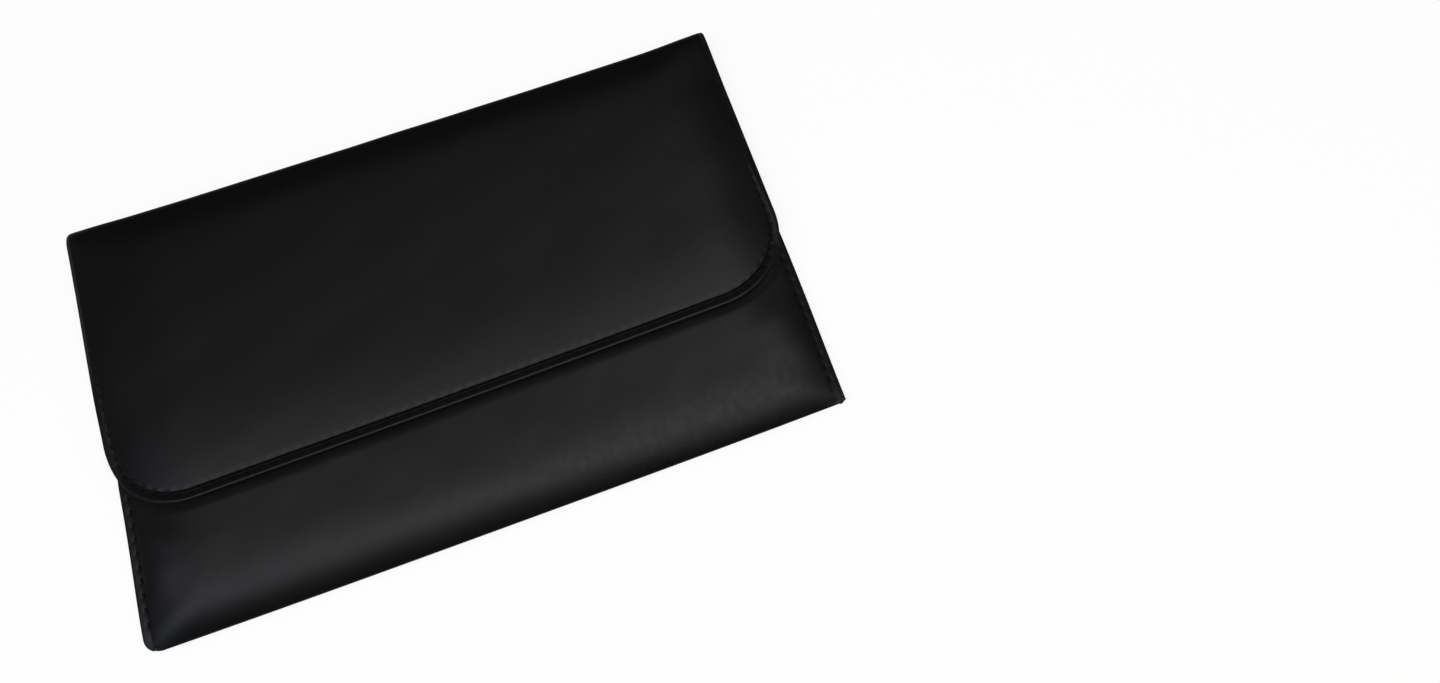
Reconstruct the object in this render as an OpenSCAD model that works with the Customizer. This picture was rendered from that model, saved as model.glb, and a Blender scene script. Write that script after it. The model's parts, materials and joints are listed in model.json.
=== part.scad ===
// Flat soft pouch for a set of dominoes: a sewn pocket under a wide flap with a hidden magnetic closure.
// It lies on its back with the flap up. X runs along its width, and Y towards the fold that carries the flap.

/* [Pouch] */
// Width of the pocket from seam edge to seam edge
pocket_w = 230; // [215:1:280]
// From the bottom fold to the top fold
pouch_d = 144; // [142:1:200]
// Radius of the pocket's bottom corners, seen from above
pocket_corner_r = 3.5; // [1:0.5:8]
// Outer radius of the two creases that the flap turns on
crease_r = 1.5; // [1.2:0.1:2.5]

/* [Contents] */
// Width of the block of dominoes that the pocket takes
block_w = 168; // [120:1:180]
// Depth of the block of dominoes, from the bottom of the pocket to its mouth
block_d = 96; // [60:1:98]
// Room round the block on each side
block_gap = 2; // [1:0.5:4]

/* [Pocket] */
// Clear height inside the empty pocket
pocket_gap = 4.6; // [4.2:0.1:8]
// Flat sewn edge on each side
seam_w = 4; // [3:0.5:8]
// Width of the turned-in skin on the sides of the back and front
hem_w = 7; // [5:0.5:12]
// How far the front's soft lower border reaches up from the bottom fold
border_d = 24; // [18:1:30]
// Width of the hem along the pocket's mouth
mouth_hem_w = 7; // [4:0.5:12]
// How far the stiff boards and the linings stay from the pouch's folds
fold_allowance = 6; // [4:0.5:10]

/* [Flap] */
// How far the flap comes down from the top fold
flap_reach = 104.5; // [80:0.5:120]
// Radius of the flap's two front corners
flap_corner_r = 28; // [12:1:36]
// How far the flap stands out past the pocket on each side
flap_overhang = 1; // [0:0.5:4]
// Width of the raised rim outside the flap's groove
rim_w = 1.7; // [1:0.1:3]
// Width of the sewn groove along the flap's edge
groove_w = 3; // [1.5:0.1:4]
// Depth of the sewn groove
groove_depth = 0.35; // [0.1:0.05:0.5]
// Width of the soft shoulder from the groove up to the flat of the flap
shoulder_w = 6; // [3:0.5:9]

/* [Plies] */
// Thickness of the outer skin
skin_t = 0.7; // [0.5:0.05:0.9]
// Thickness of the lining
lining_t = 0.3; // [0.2:0.05:0.5]
// Thickness of the board in the back
back_board_t = 1; // [0.8:0.1:1.6]
// Thickness of the board in the front
front_board_t = 0.8; // [0.6:0.1:1.4]
// Thickness of the board in the flap
flap_board_t = 1.2; // [0.8:0.1:1.6]
// Thickness of the foam under the flap's skin
foam_t = 1; // [0.6:0.1:2]

/* [Thread] */
// Thickness of the sewing thread
thread_d = 0.7; // [0.5:0.05:0.9]
// Length of one stitch
stitch_l = 3.1; // [2:0.1:3.6]
// From the start of one stitch to the start of the next
stitch_pitch = 4.4; // [4:0.1:6]
// How far a stitch lies across the line of its seam
stitch_slant = 9; // [0:1:20]
// How deep a stitch is drawn into the skin
stitch_sink = 0.45; // [0.3:0.05:0.5]
// From the pocket's edge to its side seam, and from the mouth to its hem seam
seam_inset = 3; // [2:0.1:3.4]

/* [Closure] */
// Diameter of each magnet in the flap
magnet_d = 12; // [8:0.5:16]
// Diameter of each steel striker disc in the front
striker_d = 14; // [10:0.5:18]
// From the pouch's middle line to each magnet
magnet_x = 50; // [20:1:70]
// From the flap's front edge to the middle of each magnet
magnet_inset = 18; // [16:1:24]

/* [Clearances] */
// Air between the closed flap and the pocket's front
flap_gap = 0.4; // [0.3:0.05:1]
// Slit round the front's moving middle
panel_gap = 0.15; // [0.1:0.05:0.4]
// Air between the plies of the flap
ply_gap = 0.05; // [0.02:0.01:0.1]
// Radial room round the magnets and strikers in their boards
disc_gap = 0.15; // [0.1:0.05:0.4]
// Room between the back's board and the skin turned in beside it
board_gap = 0.5; // [0.2:0.1:1]
// Room that a crease needs beyond its radius when it opens flat
crease_gap = 0.1; // [0.05:0.05:0.3]

/* [Fineness] */
// Number of flats down each soft slope
fall_steps = 8; // [4:1:12]
// Number of flats round each front corner of the flap
corner_steps = 10; // [6:1:16]
// Number of flats round each crease
crease_steps = 4; // [3:1:8]

/* [Hidden] */
$fn = 48;

// Colours
leatherette = [0.12, 0.12, 0.12];
lining_cloth = [0.2, 0.2, 0.21];
grey_board = [0.55, 0.52, 0.47];
white_foam = [0.85, 0.85, 0.82];
black_thread = [0.05, 0.05, 0.05];
bright_steel = [0.7, 0.7, 0.72];

// Heights through the pocket
back_board_top = skin_t + back_board_t;
pocket_floor = back_board_top + lining_t;
pocket_top = pocket_floor + pocket_gap;
front_board_z = pocket_top + lining_t;
front_board_top = front_board_z + front_board_t;
panel_top = front_board_top + skin_t;
seam_top = pocket_floor + lining_t + 2 * skin_t;

// Places across the width
edge_x = pocket_w / 2;
seam_x = edge_x - seam_w;
hem_x = edge_x - hem_w;
panel_x = block_w / 2 + block_gap;
side_fall = seam_x - panel_x;
lining_edge = 1.5;
lining_edge_x = edge_x - lining_edge;
stiff_edge = 2;

// Places from the bottom fold to the top fold
bottom_y = -pouch_d / 2;
top_y = pouch_d / 2;
fold_r = seam_top / 2;
fold_y = bottom_y + fold_r;
panel_y = fold_y + border_d;
mouth_y = panel_y + block_d + 2 * block_gap;
crease_y = top_y - crease_r;
crease_room = crease_r + crease_gap;
back_end_y = crease_y - crease_room;
inner_end_y = top_y - fold_allowance;

// The flap, with heights counted from its underside
flap_edge_x = edge_x + flap_overhang;
flap_y = top_y - flap_reach;
rim_h = lining_t + ply_gap + 2 * skin_t;
flap_board_z = lining_t + ply_gap;
foam_z = flap_board_z + flap_board_t + ply_gap;
foam_edge_t = 0.15;
flap_h = foam_z + foam_t + ply_gap + skin_t;
shoulder_h = foam_z + foam_edge_t + ply_gap + skin_t;
rim_round = 0.5;
groove_wall = 0.3;
groove_in = rim_w + groove_w;
turned_past = 0.2;
stiff_past = 0.7;
turned_in = groove_in + turned_past;
stiff_in = groove_in + stiff_past;
flat_in = flap_edge_x - panel_x;
stitch_in = rim_w + groove_w / 2;

// The soft slope, from 0 at its foot to 1 where it levels out
function climb(t) = 1 - pow(1 - min(max(t, 0), 1), 2);

// Height of the pocket's front over its width, and over its depth
function side_z(x) = seam_top + (panel_top - seam_top) * climb((seam_x - abs(x)) / side_fall);
function border_z(y) = seam_top + (panel_top - seam_top) * climb((y - fold_y) / border_d);

// Height of the closed flap's underside
function flap_under(x) = side_z(x) + flap_gap;

function reversed(list) = [for (i = [len(list) - 1:-1:0]) list[i]];

// Extrudes an X-Z outline from y0 to y1
module across(y0, y1) {
    translate([0, y1, 0])
        rotate([90, 0, 0])
            linear_extrude(y1 - y0)
                children();
}

// Extrudes a Y-Z outline from x0 to x1
module along(x0, x1) {
    translate([x0, 0, 0])
        rotate([90, 0, 90])
            linear_extrude(x1 - x0)
                children();
}

// Box between two corners
module slab(low, high) {
    translate(low)
        cube(high - low);
}

// Rounded bottom corners of the pocket, as a tall prism
module pocket_prism() {
    translate([0, 0, -1])
        linear_extrude(panel_top + 2)
            union() {
                translate([-edge_x, bottom_y + pocket_corner_r])
                    square([pocket_w, pouch_d - pocket_corner_r]);
                translate([-edge_x + pocket_corner_r, bottom_y])
                    square([pocket_w - 2 * pocket_corner_r, pocket_corner_r + 1]);
                for (side = [-1, 1])
                    translate([side * (edge_x - pocket_corner_r), bottom_y + pocket_corner_r])
                        circle(pocket_corner_r);
            }
}

// The room under the pocket's front, lowered by drop and widened by grow past its edges
fall_xs = concat([for (k = [fall_steps:-1:0]) seam_x - side_fall * k / fall_steps], [edge_x]);
fall_ys = [for (k = [0:fall_steps]) fold_y + border_d * k / fall_steps];

module tent(drop, grow) {
    foot = pocket_floor - grow;
    intersection() {
        across(bottom_y - grow, mouth_y + grow)
            polygon(concat(
                [[-edge_x - grow, foot], [-edge_x - grow, seam_top - drop]],
                [for (x = reversed(fall_xs)) [-x, side_z(x) - drop]],
                [for (x = fall_xs) [x, side_z(x) - drop]],
                [[edge_x + grow, seam_top - drop], [edge_x + grow, foot]]));
        along(-edge_x - grow, edge_x + grow)
            polygon(concat(
                [[fold_y - grow, foot], [fold_y - grow, seam_top - drop]],
                [for (y = fall_ys) [y, border_z(y) - drop]],
                [[mouth_y + grow, panel_top - drop], [mouth_y + grow, foot]]));
    }
}

// Soft borders of the front, with the skin turned in along the side seams
module border_shell() {
    intersection() {
        difference() {
            tent(0, 0);
            intersection() {
                tent(skin_t, 1);
                slab([-hem_x, bottom_y, 0], [hem_x, mouth_y + 1, panel_top]);
            }
        }
        pocket_prism();
    }
}

// Outline of the flap, drawn in by inset, from the left end of its fold round to the right end.
// Its front edge has points down to where the pocket's side slopes begin, so that its middle stays level.
inner_corner_r = 4;
front_steps = 3;
function flap_line(inset) =
    let (r = max(flap_corner_r - inset, inner_corner_r),
        cx = flap_edge_x - inset - r,
        cy = flap_y + inset + r,
        level_x = min(panel_x, cx - 1),
        left = concat(
            [[-flap_edge_x + inset, crease_y]],
            [for (k = [0:corner_steps])
                let (a = 180 + 90 * k / corner_steps)
                [-cx + r * cos(a), cy + r * sin(a)]],
            [for (k = [1:front_steps])
                [-cx + (cx - level_x) * k / front_steps, flap_y + inset]]))
    concat(left, [for (p = reversed(left)) [-p[0], p[1]]]);

// Rings of the flap's skin as [inset, height], from the rim up the shoulder to the flat
shoulder_steps = 3;
flat_steps = 3;
rim_rings = [
    [0, rim_h - rim_round],
    [rim_round, rim_h],
    [rim_w, rim_h],
    [rim_w + groove_wall, rim_h - groove_depth],
    [groove_in - groove_wall, rim_h - groove_depth],
    [groove_in, rim_h]];
shoulder_rings = [for (k = [0:shoulder_steps])
    [stiff_in + shoulder_w * k / shoulder_steps,
        shoulder_h + (flap_h - shoulder_h) * sin(90 * k / shoulder_steps)]];
flat_rings = [for (k = [1:flat_steps])
    [stiff_in + shoulder_w + (flat_in - stiff_in - shoulder_w) * k / flat_steps, flap_h]];
outer_rings = concat(rim_rings, shoulder_rings, flat_rings);
inner_rings = concat(shoulder_rings, flat_rings);

// The same rings at one height, and at a height below the skin's face
function level_rings(rings, height) = [for (r = rings) [r[0], height]];
function lowered_rings(rings, drop) = [for (r = rings) [r[0], r[1] - drop]];

// Triangles that close a ply beside its fold, from each ring to the ring that lies across the ply's thickness
function end_faces(m) = [for (j = [0:ceil(m / 2) - 2])
    let (far = m - 1 - j)
    each concat(j + 2 < far ? [[j, j + 1, far - 1]] : [], [[j, far - 1, far]])];

// One ply of the flap. Its rings start at the top's innermost one, go out over the edge and come back below.
module flap_ply(rings) {
    n = len(flap_line(0));
    m = len(rings);
    polyhedron(
        points = [for (r = rings) for (p = flap_line(r[0])) [p[0], p[1], flap_under(p[0]) + r[1]]],
        faces = concat(
            [for (j = [0:m - 2]) for (i = [0:n - 2])
                each [[j * n + i, j * n + i + 1, (j + 1) * n + i + 1],
                    [j * n + i, (j + 1) * n + i + 1, (j + 1) * n + i]]],
            [for (t = end_faces(m)) [for (j = t) j * n]],
            [for (t = end_faces(m)) [for (j = reversed(t)) j * n + n - 1]],
            [[0, (m - 1) * n, m * n - 1, n - 1],
                [for (i = [n - 1:-1:0]) i],
                [for (i = [0:n - 1]) (m - 1) * n + i]]),
        convexity = 6);
}

// Stations along a crease as [x, height of the flap's face there]
function crease_stations(rings) =
    let (left = [for (r = rings) [-flap_edge_x + r[0], flap_under(flap_edge_x - r[0]) + r[1]]])
    concat(left, [for (s = reversed(left)) [-s[0], s[1]]]);

function arc(cy, cz, r, from, to) = [for (k = [0:crease_steps])
    let (a = from + (to - from) * k / crease_steps)
    [cy + r * cos(a), cz + r * sin(a)]];

// Solid through a list of [x, closed Y-Z outline]
module swept(sections) {
    n = len(sections[0][1]);
    m = len(sections);
    polyhedron(
        points = [for (s = sections) for (p = s[1]) [s[0], p[0], p[1]]],
        faces = concat(
            [for (k = [0:m - 2]) for (i = [0:n - 1])
                let (a = k * n + i, b = k * n + (i + 1) % n)
                each [[a, a + n, b + n], [a, b + n, b]]],
            [[for (i = [0:n - 1]) i], [for (i = [n - 1:-1:0]) (m - 1) * n + i]]),
        convexity = 4);
}

// One stitch centred on a point of the skin's face
module stitch(place, heading, rise) {
    translate(place + [0, 0, thread_d / 2 - stitch_sink])
        rotate([0, -rise, heading + stitch_slant])
            rotate([0, 90, 0])
                cylinder(h = stitch_l, d = thread_d, center = true, $fn = 16);
}

// Straight row of stitches between two points, in whole stitches
module stitch_row(from, to) {
    count = floor(norm(to - from) / stitch_pitch);
    heading = atan2(to[1] - from[1], to[0] - from[0]);
    for (i = [0:count - 1])
        stitch(from + (to - from) * (i + 0.5) / count, heading, 0);
}

// The flap's seam line as [x, y, heading] after a length s from its left end
seam_start_y = inner_end_y;
seam_r = flap_corner_r - stitch_in;
seam_side = seam_start_y - flap_y - flap_corner_r;
seam_corner = seam_r * PI / 2;
seam_half = seam_side + seam_corner + flap_edge_x - flap_corner_r;

function seam_point(s) =
    s < seam_side ? [-flap_edge_x + stitch_in, seam_start_y - s, -90]
    : s < seam_side + seam_corner ?
        let (a = 180 + (s - seam_side) / seam_corner * 90)
        [-flap_edge_x + flap_corner_r + seam_r * cos(a), flap_y + flap_corner_r + seam_r * sin(a), a + 90]
    : s <= seam_half ? [s - seam_half, flap_y + stitch_in, 0]
    : let (p = seam_point(2 * seam_half - s)) [-p[0], p[1], -p[2]];

function groove_z(x) = flap_under(x) + rim_h - groove_depth;

// Outer skin of the back, with its sides turned in
module back_skin() {
    color(leatherette)
        intersection() {
            union() {
                slab([-edge_x, fold_y, 0], [edge_x, back_end_y, skin_t]);
                for (x = [-edge_x, hem_x])
                    slab([x, fold_y, skin_t], [x + hem_w, back_end_y, back_board_top]);
            }
            pocket_prism();
        }
}

module back_board() {
    color(grey_board)
        slab([-hem_x + board_gap, bottom_y + fold_allowance, skin_t],
            [hem_x - board_gap, inner_end_y, back_board_top]);
}

module back_lining() {
    color(lining_cloth)
        slab([-lining_edge_x, fold_y + lining_edge, back_board_top],
            [lining_edge_x, inner_end_y, pocket_floor]);
}

// Half-round fold of the skin along the bottom
module bottom_fold_skin() {
    color(leatherette)
        intersection() {
            along(-edge_x, edge_x)
                translate([fold_y, fold_r])
                    difference() {
                        circle(fold_r);
                        circle(fold_r - skin_t);
                        translate([0, -fold_r])
                            square([fold_r, 2 * fold_r]);
                    }
            pocket_prism();
        }
}

// Soft border between the bottom fold and the front's flat middle
module bottom_border_skin() {
    color(leatherette)
        intersection() {
            border_shell();
            slab([-panel_x, bottom_y, 0], [panel_x, panel_y, panel_top + 1]);
        }
}

// Soft border and seam edge on one side, -1 for left and 1 for right
module side_border(side) {
    outer_x = side * edge_x;
    inner_x = side * panel_x;
    intersection() {
        border_shell();
        slab([min(outer_x, inner_x), bottom_y, 0], [max(outer_x, inner_x), mouth_y, panel_top + 1]);
    }
}

module left_border_skin() {
    color(leatherette)
        side_border(-1);
}

module right_border_skin() {
    color(leatherette)
        side_border(1);
}

// Lining under the three soft borders
module border_lining() {
    color(lining_cloth)
        intersection() {
            difference() {
                tent(skin_t, 0);
                tent(skin_t + lining_t, 1);
                slab([-panel_x, panel_y, 0], [panel_x, mouth_y + 1, panel_top]);
            }
            slab([-hem_x, fold_y + skin_t, 0], [hem_x, mouth_y, panel_top]);
        }
}

// Stitches of one side seam
module seam_thread(side) {
    color(black_thread)
        stitch_row([side * (edge_x - seam_inset), fold_y + seam_inset, seam_top],
            [side * (edge_x - seam_inset), mouth_y, seam_top]);
}

module left_seam_thread() {
    seam_thread(-1);
}

module right_seam_thread() {
    seam_thread(1);
}

// Moving middle of the front, with its skin turned over the mouth's edge
panel_edge_x = panel_x - panel_gap;
panel_low_y = panel_y + panel_gap;

module front_skin() {
    color(leatherette)
        union() {
            slab([-panel_edge_x, panel_low_y, front_board_top], [panel_edge_x, mouth_y, panel_top]);
            slab([-panel_edge_x, mouth_y - skin_t, pocket_top], [panel_edge_x, mouth_y, front_board_top]);
            slab([-panel_edge_x, mouth_y - mouth_hem_w, pocket_top],
                [panel_edge_x, mouth_y - skin_t, front_board_z]);
        }
}

module front_board() {
    color(grey_board)
        difference() {
            slab([-panel_edge_x + stiff_edge, panel_low_y + stiff_edge, front_board_z],
                [panel_edge_x - stiff_edge, mouth_y - skin_t, front_board_top]);
            for (side = [-1, 1])
                disc(side, striker_d + 2 * disc_gap, front_board_z - 1, front_board_t + 2);
        }
}

module front_lining() {
    color(lining_cloth)
        slab([-panel_edge_x, panel_low_y, pocket_top], [panel_edge_x, mouth_y - mouth_hem_w, front_board_z]);
}

// Flat disc on one side of the closure
module disc(side, d, z, t) {
    translate([side * magnet_x, flap_y + magnet_inset, z])
        cylinder(h = t, d = d);
}

module left_striker() {
    color(bright_steel)
        disc(-1, striker_d, front_board_z, front_board_t);
}

module right_striker() {
    color(bright_steel)
        disc(1, striker_d, front_board_z, front_board_t);
}

module mouth_thread() {
    color(black_thread)
        stitch_row([-panel_edge_x, mouth_y - seam_inset, panel_top],
            [panel_edge_x, mouth_y - seam_inset, panel_top]);
}

// Wall of the top fold, from the lower crease up towards the flap
module spine_skin() {
    color(leatherette)
        swept([for (s = crease_stations(outer_rings))
            let (wall_top = s[1] - crease_r - crease_room)
            [s[0], concat(
                arc(crease_y, crease_r, crease_r, -90, 0),
                [[top_y, wall_top], [top_y - skin_t, wall_top]],
                arc(crease_y, crease_r, crease_r - skin_t, 0, -90))]]);
}

module spine_lining() {
    inner_y = top_y - skin_t;
    color(lining_cloth)
        swept([for (s = crease_stations(inner_rings))
            let (wall_top = s[1] - crease_r - crease_room)
            [s[0], [[inner_y - lining_t, crease_r], [inner_y, crease_r],
                [inner_y, wall_top], [inner_y - lining_t, wall_top]]]]);
}

// Upper crease of the top fold, which turns with the flap
module top_fold_skin() {
    color(leatherette)
        swept([for (s = crease_stations(outer_rings))
            [s[0], concat(
                arc(crease_y, s[1] - crease_r, crease_r, 0, 90),
                arc(crease_y, s[1] - crease_r, crease_r - skin_t, 90, 0))]]);
}

// Outer skin of the flap, with its edge turned in
module flap_skin() {
    color(leatherette)
        flap_ply(concat(
            reversed(outer_rings),
            [[0, 0], [skin_t, 0], [skin_t, flap_board_z], [rim_w, flap_board_z],
                [rim_w + groove_wall, flap_board_z], [turned_in, flap_board_z],
                [turned_in, shoulder_h - skin_t]],
            lowered_rings(inner_rings, skin_t)));
}

// Keeps what lies inside the flap clear of its fold
module before_fold() {
    intersection() {
        children();
        slab([-flap_edge_x, flap_y, 0], [flap_edge_x, inner_end_y, panel_top + flap_h + 1]);
    }
}

module flap_foam() {
    color(white_foam)
        before_fold()
            flap_ply(concat(
                reversed(lowered_rings(inner_rings, skin_t + ply_gap)),
                level_rings(inner_rings, foam_z)));
}

module flap_board() {
    color(grey_board)
        difference() {
            before_fold()
                flap_ply(concat(
                    reversed(level_rings(inner_rings, flap_board_z + flap_board_t)),
                    level_rings(inner_rings, flap_board_z)));
            for (side = [-1, 1])
                disc(side, magnet_d + 2 * disc_gap, panel_top, flap_h);
        }
}

module flap_lining() {
    lining_rings = concat([[skin_t + ply_gap, 0], [turned_in, 0]], inner_rings);
    color(lining_cloth)
        before_fold()
            flap_ply(concat(
                reversed(level_rings(lining_rings, lining_t)),
                level_rings(lining_rings, 0)));
}

module magnet(side) {
    color(bright_steel)
        disc(side, magnet_d, panel_top + flap_gap + flap_board_z, flap_board_t);
}

module left_magnet() {
    magnet(-1);
}

module right_magnet() {
    magnet(1);
}

module flap_thread() {
    count = floor(2 * seam_half / stitch_pitch);
    step = 2 * seam_half / count;
    color(black_thread)
        for (i = [0:count - 1])
            let (s = (i + 0.5) * step,
                p = seam_point(s),
                behind = seam_point(s - stitch_l / 2),
                ahead = seam_point(s + stitch_l / 2),
                rise = atan((groove_z(ahead[0]) - groove_z(behind[0])) / stitch_l))
            stitch([p[0], p[1], groove_z(p[0])], p[2], rise);
}

back_skin();
back_board();
back_lining();
bottom_fold_skin();
bottom_border_skin();
left_border_skin();
right_border_skin();
border_lining();
left_seam_thread();
right_seam_thread();
front_skin();
front_board();
front_lining();
left_striker();
right_striker();
mouth_thread();
spine_skin();
spine_lining();
top_fold_skin();
flap_skin();
flap_foam();
flap_board();
flap_lining();
left_magnet();
right_magnet();
flap_thread();
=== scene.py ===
import json
import math

import bmesh
import bpy
import numpy as np
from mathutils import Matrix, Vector


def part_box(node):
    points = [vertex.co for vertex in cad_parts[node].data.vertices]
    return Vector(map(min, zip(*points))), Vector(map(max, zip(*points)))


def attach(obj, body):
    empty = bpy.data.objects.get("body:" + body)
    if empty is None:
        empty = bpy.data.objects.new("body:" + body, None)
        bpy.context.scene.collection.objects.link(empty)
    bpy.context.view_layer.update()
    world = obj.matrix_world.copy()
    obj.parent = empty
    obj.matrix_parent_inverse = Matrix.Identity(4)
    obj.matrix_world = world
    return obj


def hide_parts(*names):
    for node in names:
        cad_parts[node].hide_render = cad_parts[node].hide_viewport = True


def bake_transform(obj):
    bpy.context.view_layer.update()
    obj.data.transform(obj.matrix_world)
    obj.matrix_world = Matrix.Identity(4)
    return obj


# A flat leatherette pouch lying closed on its back. Shapes are worked out in millimetres, with x along the
# width, y towards the top fold and z up, and are stored in metres.
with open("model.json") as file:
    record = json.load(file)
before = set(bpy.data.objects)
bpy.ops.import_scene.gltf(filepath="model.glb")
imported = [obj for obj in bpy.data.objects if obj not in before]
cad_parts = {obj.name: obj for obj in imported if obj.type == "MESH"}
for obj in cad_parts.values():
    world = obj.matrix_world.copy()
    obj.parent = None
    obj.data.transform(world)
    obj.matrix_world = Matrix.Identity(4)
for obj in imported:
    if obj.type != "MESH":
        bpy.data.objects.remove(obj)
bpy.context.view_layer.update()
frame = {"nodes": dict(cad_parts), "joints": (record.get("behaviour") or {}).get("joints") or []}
print("frame loaded")


def boxMm(node):
    # Lowest and highest corner of a CAD node
    low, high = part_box(node)
    return np.array(low) * 1000, np.array(high) * 1000


panelLow, panelHigh = boxMm("front_skin")
flapLow, flapHigh = boxMm("flap_skin")
foldLow, foldHigh = boxMm("bottom_fold_skin")
creaseAt = 1000 * np.array(frame["joints"][0]["pos_m"])

# Sizes that every piece shares, read from the frame
pouch = {
    "edgeX": boxMm("back_skin")[1][0],
    "bottomY": foldLow[1],
    "topY": boxMm("spine_skin")[1][1],
    "mouthY": panelHigh[1],
    "panelX": panelHigh[0],  # the front's flat middle reaches to here, and from panelY to the mouth
    "panelY": panelLow[1],
    "panelTop": panelHigh[2],
    "seamTop": foldHigh[2],  # the front and back lie on each other at the side seams up to this height
    "flapX": flapHigh[0],
    "flapY": flapLow[1],
    "flapGap": flapLow[2] - foldHigh[2],
    "creaseY": creaseAt[1],
    "creaseR": creaseAt[2],  # the back turns up into the spine on this radius
}
foldR = pouch["seamTop"] / 2
foldY = pouch["bottomY"] + foldR


def smooth(t):
    # Smoothstep: 3t^2 - 2t^3, held at 0 and 1 outside
    t = np.clip(t, 0, 1)
    return t * t * (3 - 2 * t)


def ramp(value, span):
    # Smoothstep over a span that is given as its start and its length
    start, over = span
    return smooth((value - start) / over)


def bell(off, width):
    # exp(-(off / width)^2)
    return np.exp(-(off / width) ** 2)


def ripples(x, y, seed, count, shortest, longest, amplitude):
    # Sum of sine waves with random directions, phases and lengths, scaled to the amplitude
    chance = np.random.default_rng(seed)
    total = np.zeros(np.broadcast(x, y).shape)
    for _ in range(count):
        length = shortest * (longest / shortest) ** chance.random()
        heading = chance.random() * math.pi
        phase = chance.random() * 2 * math.pi
        across = x * math.cos(heading) + y * math.sin(heading)
        total = total + np.sin(across * 2 * math.pi / length + phase)
    return total * amplitude / math.sqrt(count)


# Helpers that turn whole arrays into Blender meshes

def gridFaces(rows, columns, first=0):
    # Quads of a grid stored row by row
    at = first + np.arange(rows * columns).reshape(rows, columns)
    return np.stack([at[:-1, :-1], at[:-1, 1:], at[1:, 1:], at[1:, :-1]], axis=-1).reshape(-1, 4)


def addMesh(name, points, faces, uv=None):
    # faces is a list of arrays, one for the quads and one for the triangles
    mesh = bpy.data.meshes.new(name)
    corners = [face for group in faces for face in group.tolist()]
    mesh.from_pydata(np.asarray(points, float) * 0.001, [], corners)
    mesh.polygons.foreach_set("use_smooth", np.ones(len(mesh.polygons), bool))
    if uv is not None:
        corner = np.zeros(len(mesh.loops), np.int32)
        mesh.loops.foreach_get("vertex_index", corner)
        layer = mesh.uv_layers.new(name="flatCut")
        layer.uv.foreach_set("vector", (np.asarray(uv) * 0.001)[corner].astype(np.float32).ravel())
    mesh.update()
    piece = bpy.data.objects.new(name, mesh)
    bpy.context.scene.collection.objects.link(piece)
    return piece


def addGrid(name, points, uv, flip=False):
    # Points as rows by columns by 3, with the faces turned over where the rows run towards the front
    faces = gridFaces(*points.shape[:2])
    return addMesh(name, points.reshape(-1, 3), [faces[:, ::-1] if flip else faces], uv)


def flatCut(x, y):
    # Places in the flat cut, one row for each point
    return np.stack([x, y], axis=-1).reshape(-1, 2)


def thicken(piece, thickness):
    # Gives a sheet its thickness inward from the face that is seen
    solid = piece.modifiers.new("thickness", "SOLIDIFY")
    solid.thickness = thickness * 0.001
    solid.offset = -1


def blendBy(piece, a, b, start, end, share):
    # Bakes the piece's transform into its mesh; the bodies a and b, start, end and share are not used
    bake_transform(piece)


# Shape of the pocket's front and of the flap that lies on it

settle = {
    "foldSag": 2.9,  # how far the top fold is pulled in at its middle
    "sagRight": 0.12,  # how much more to the right and less to the left, as a share
    "sagFrom": (53.0, 17.0),  # where that starts, just behind the mouth, and over what distance it grows
    "sagPower": 8,
    "bottomBulge": 0.6,  # how far the bottom fold is pushed out at its middle
    "bulgeFrom": (48.0, 22.0),  # the same, counted towards the front
    "bulgePower": 3,
    "flapShort": (1.0, 0.0135, 0.00004),  # how far back the flap's front edge lies, more so to the right
    "flapShortMost": 2.6,
    "flapShortOver": 80.0,  # the distance behind that edge over which it fades out
    "flapLeft": 0.6,  # how far the flap's left front corner is pulled in
    "flapLeftX": (80.0, 34.0),  # where that grows, counted to the left
    "flapLeftBell": (-8.0, 14.0),  # y of the middle of its bell, and the bell's width
    "flapWider": 0.35,  # how much further out the rest of its left side lies
    "flapWiderX": (95.0, 15.0),
    "flapWiderBack": (50.0, 15.0),  # y from which that fades out
    "leftShift": 0.6,  # how far the pocket's left side is pulled in beside the flap's front corner
    "rightShift": 0.4,  # how far the right side is pushed out there
    "shiftX": (70.0, 40.0),  # where both grow towards the sides
    "shiftFront": (-68.0, 40.0),  # y where they set in
    "shiftBack": (10.0, 40.0),  # and where they fade out
    "leftEnd": 1.6,  # radius of the top fold's left end
    "rightEnd": 0.6,  # and of its right end
    "endDepth": 0.8,  # share of that radius by which the ends turn down
    "endFrom": (58.0, 12.0),
}


def flapDrawn(x):
    # How far the flap's front edge lies back: the parabola a + b x + c x^2
    a, b, c = settle["flapShort"]
    return np.clip(a + b * x + c * x**2, 0, settle["flapShortMost"])


front = {
    "seamWidth": 2.9,  # flat sewn edge on each side
    "mitre": 2.8,  # how sharply the side and bottom slopes meet
    "bottomFullness": 3.6,  # power of the bottom slope: 2 is a plain parabola, more has a rounder foot
    "sideFullness": 3.6,  # the same for the sides, away from the flap and from the bottom corners
    "fullOver": 12.0,  # the sides come to that over this distance in front of the flap
    "cornerEase": 0.85,  # share of it that they lose again towards the bottom corners
    "cornerFrom": -48.0,
    "cornerOver": 14.0,
    "liftFull": 85.5,  # the front lifts whole inside this half width
    "liftEnd": 111.0,  # and not at all outside this one
    "press": 0.5,  # how deep the flap's edge presses the front
    "pressWidth": 2.8,  # and over what width in front of it
    "pressPower": 1.3,
    "pressFade": (-12.0, 8.0),  # it fades in under the flap, from this distance behind that edge
    "puff": 0.15,  # how far the bottom corners puff up, around puffX and puffY
    "puffX": 101.0,
    "puffY": -62.0,
    "puffR": 7.0,
    "puffInset": 3.5,
    "puffFade": 6.0,  # distance over which it fades out towards the seams and the bottom fold
    "uneven": 0.05,  # height of the skin's slow waves
    "unevenFrom": (-72.0, 6.0),
}
panelRise = pouch["panelTop"] - pouch["seamTop"]

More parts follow.
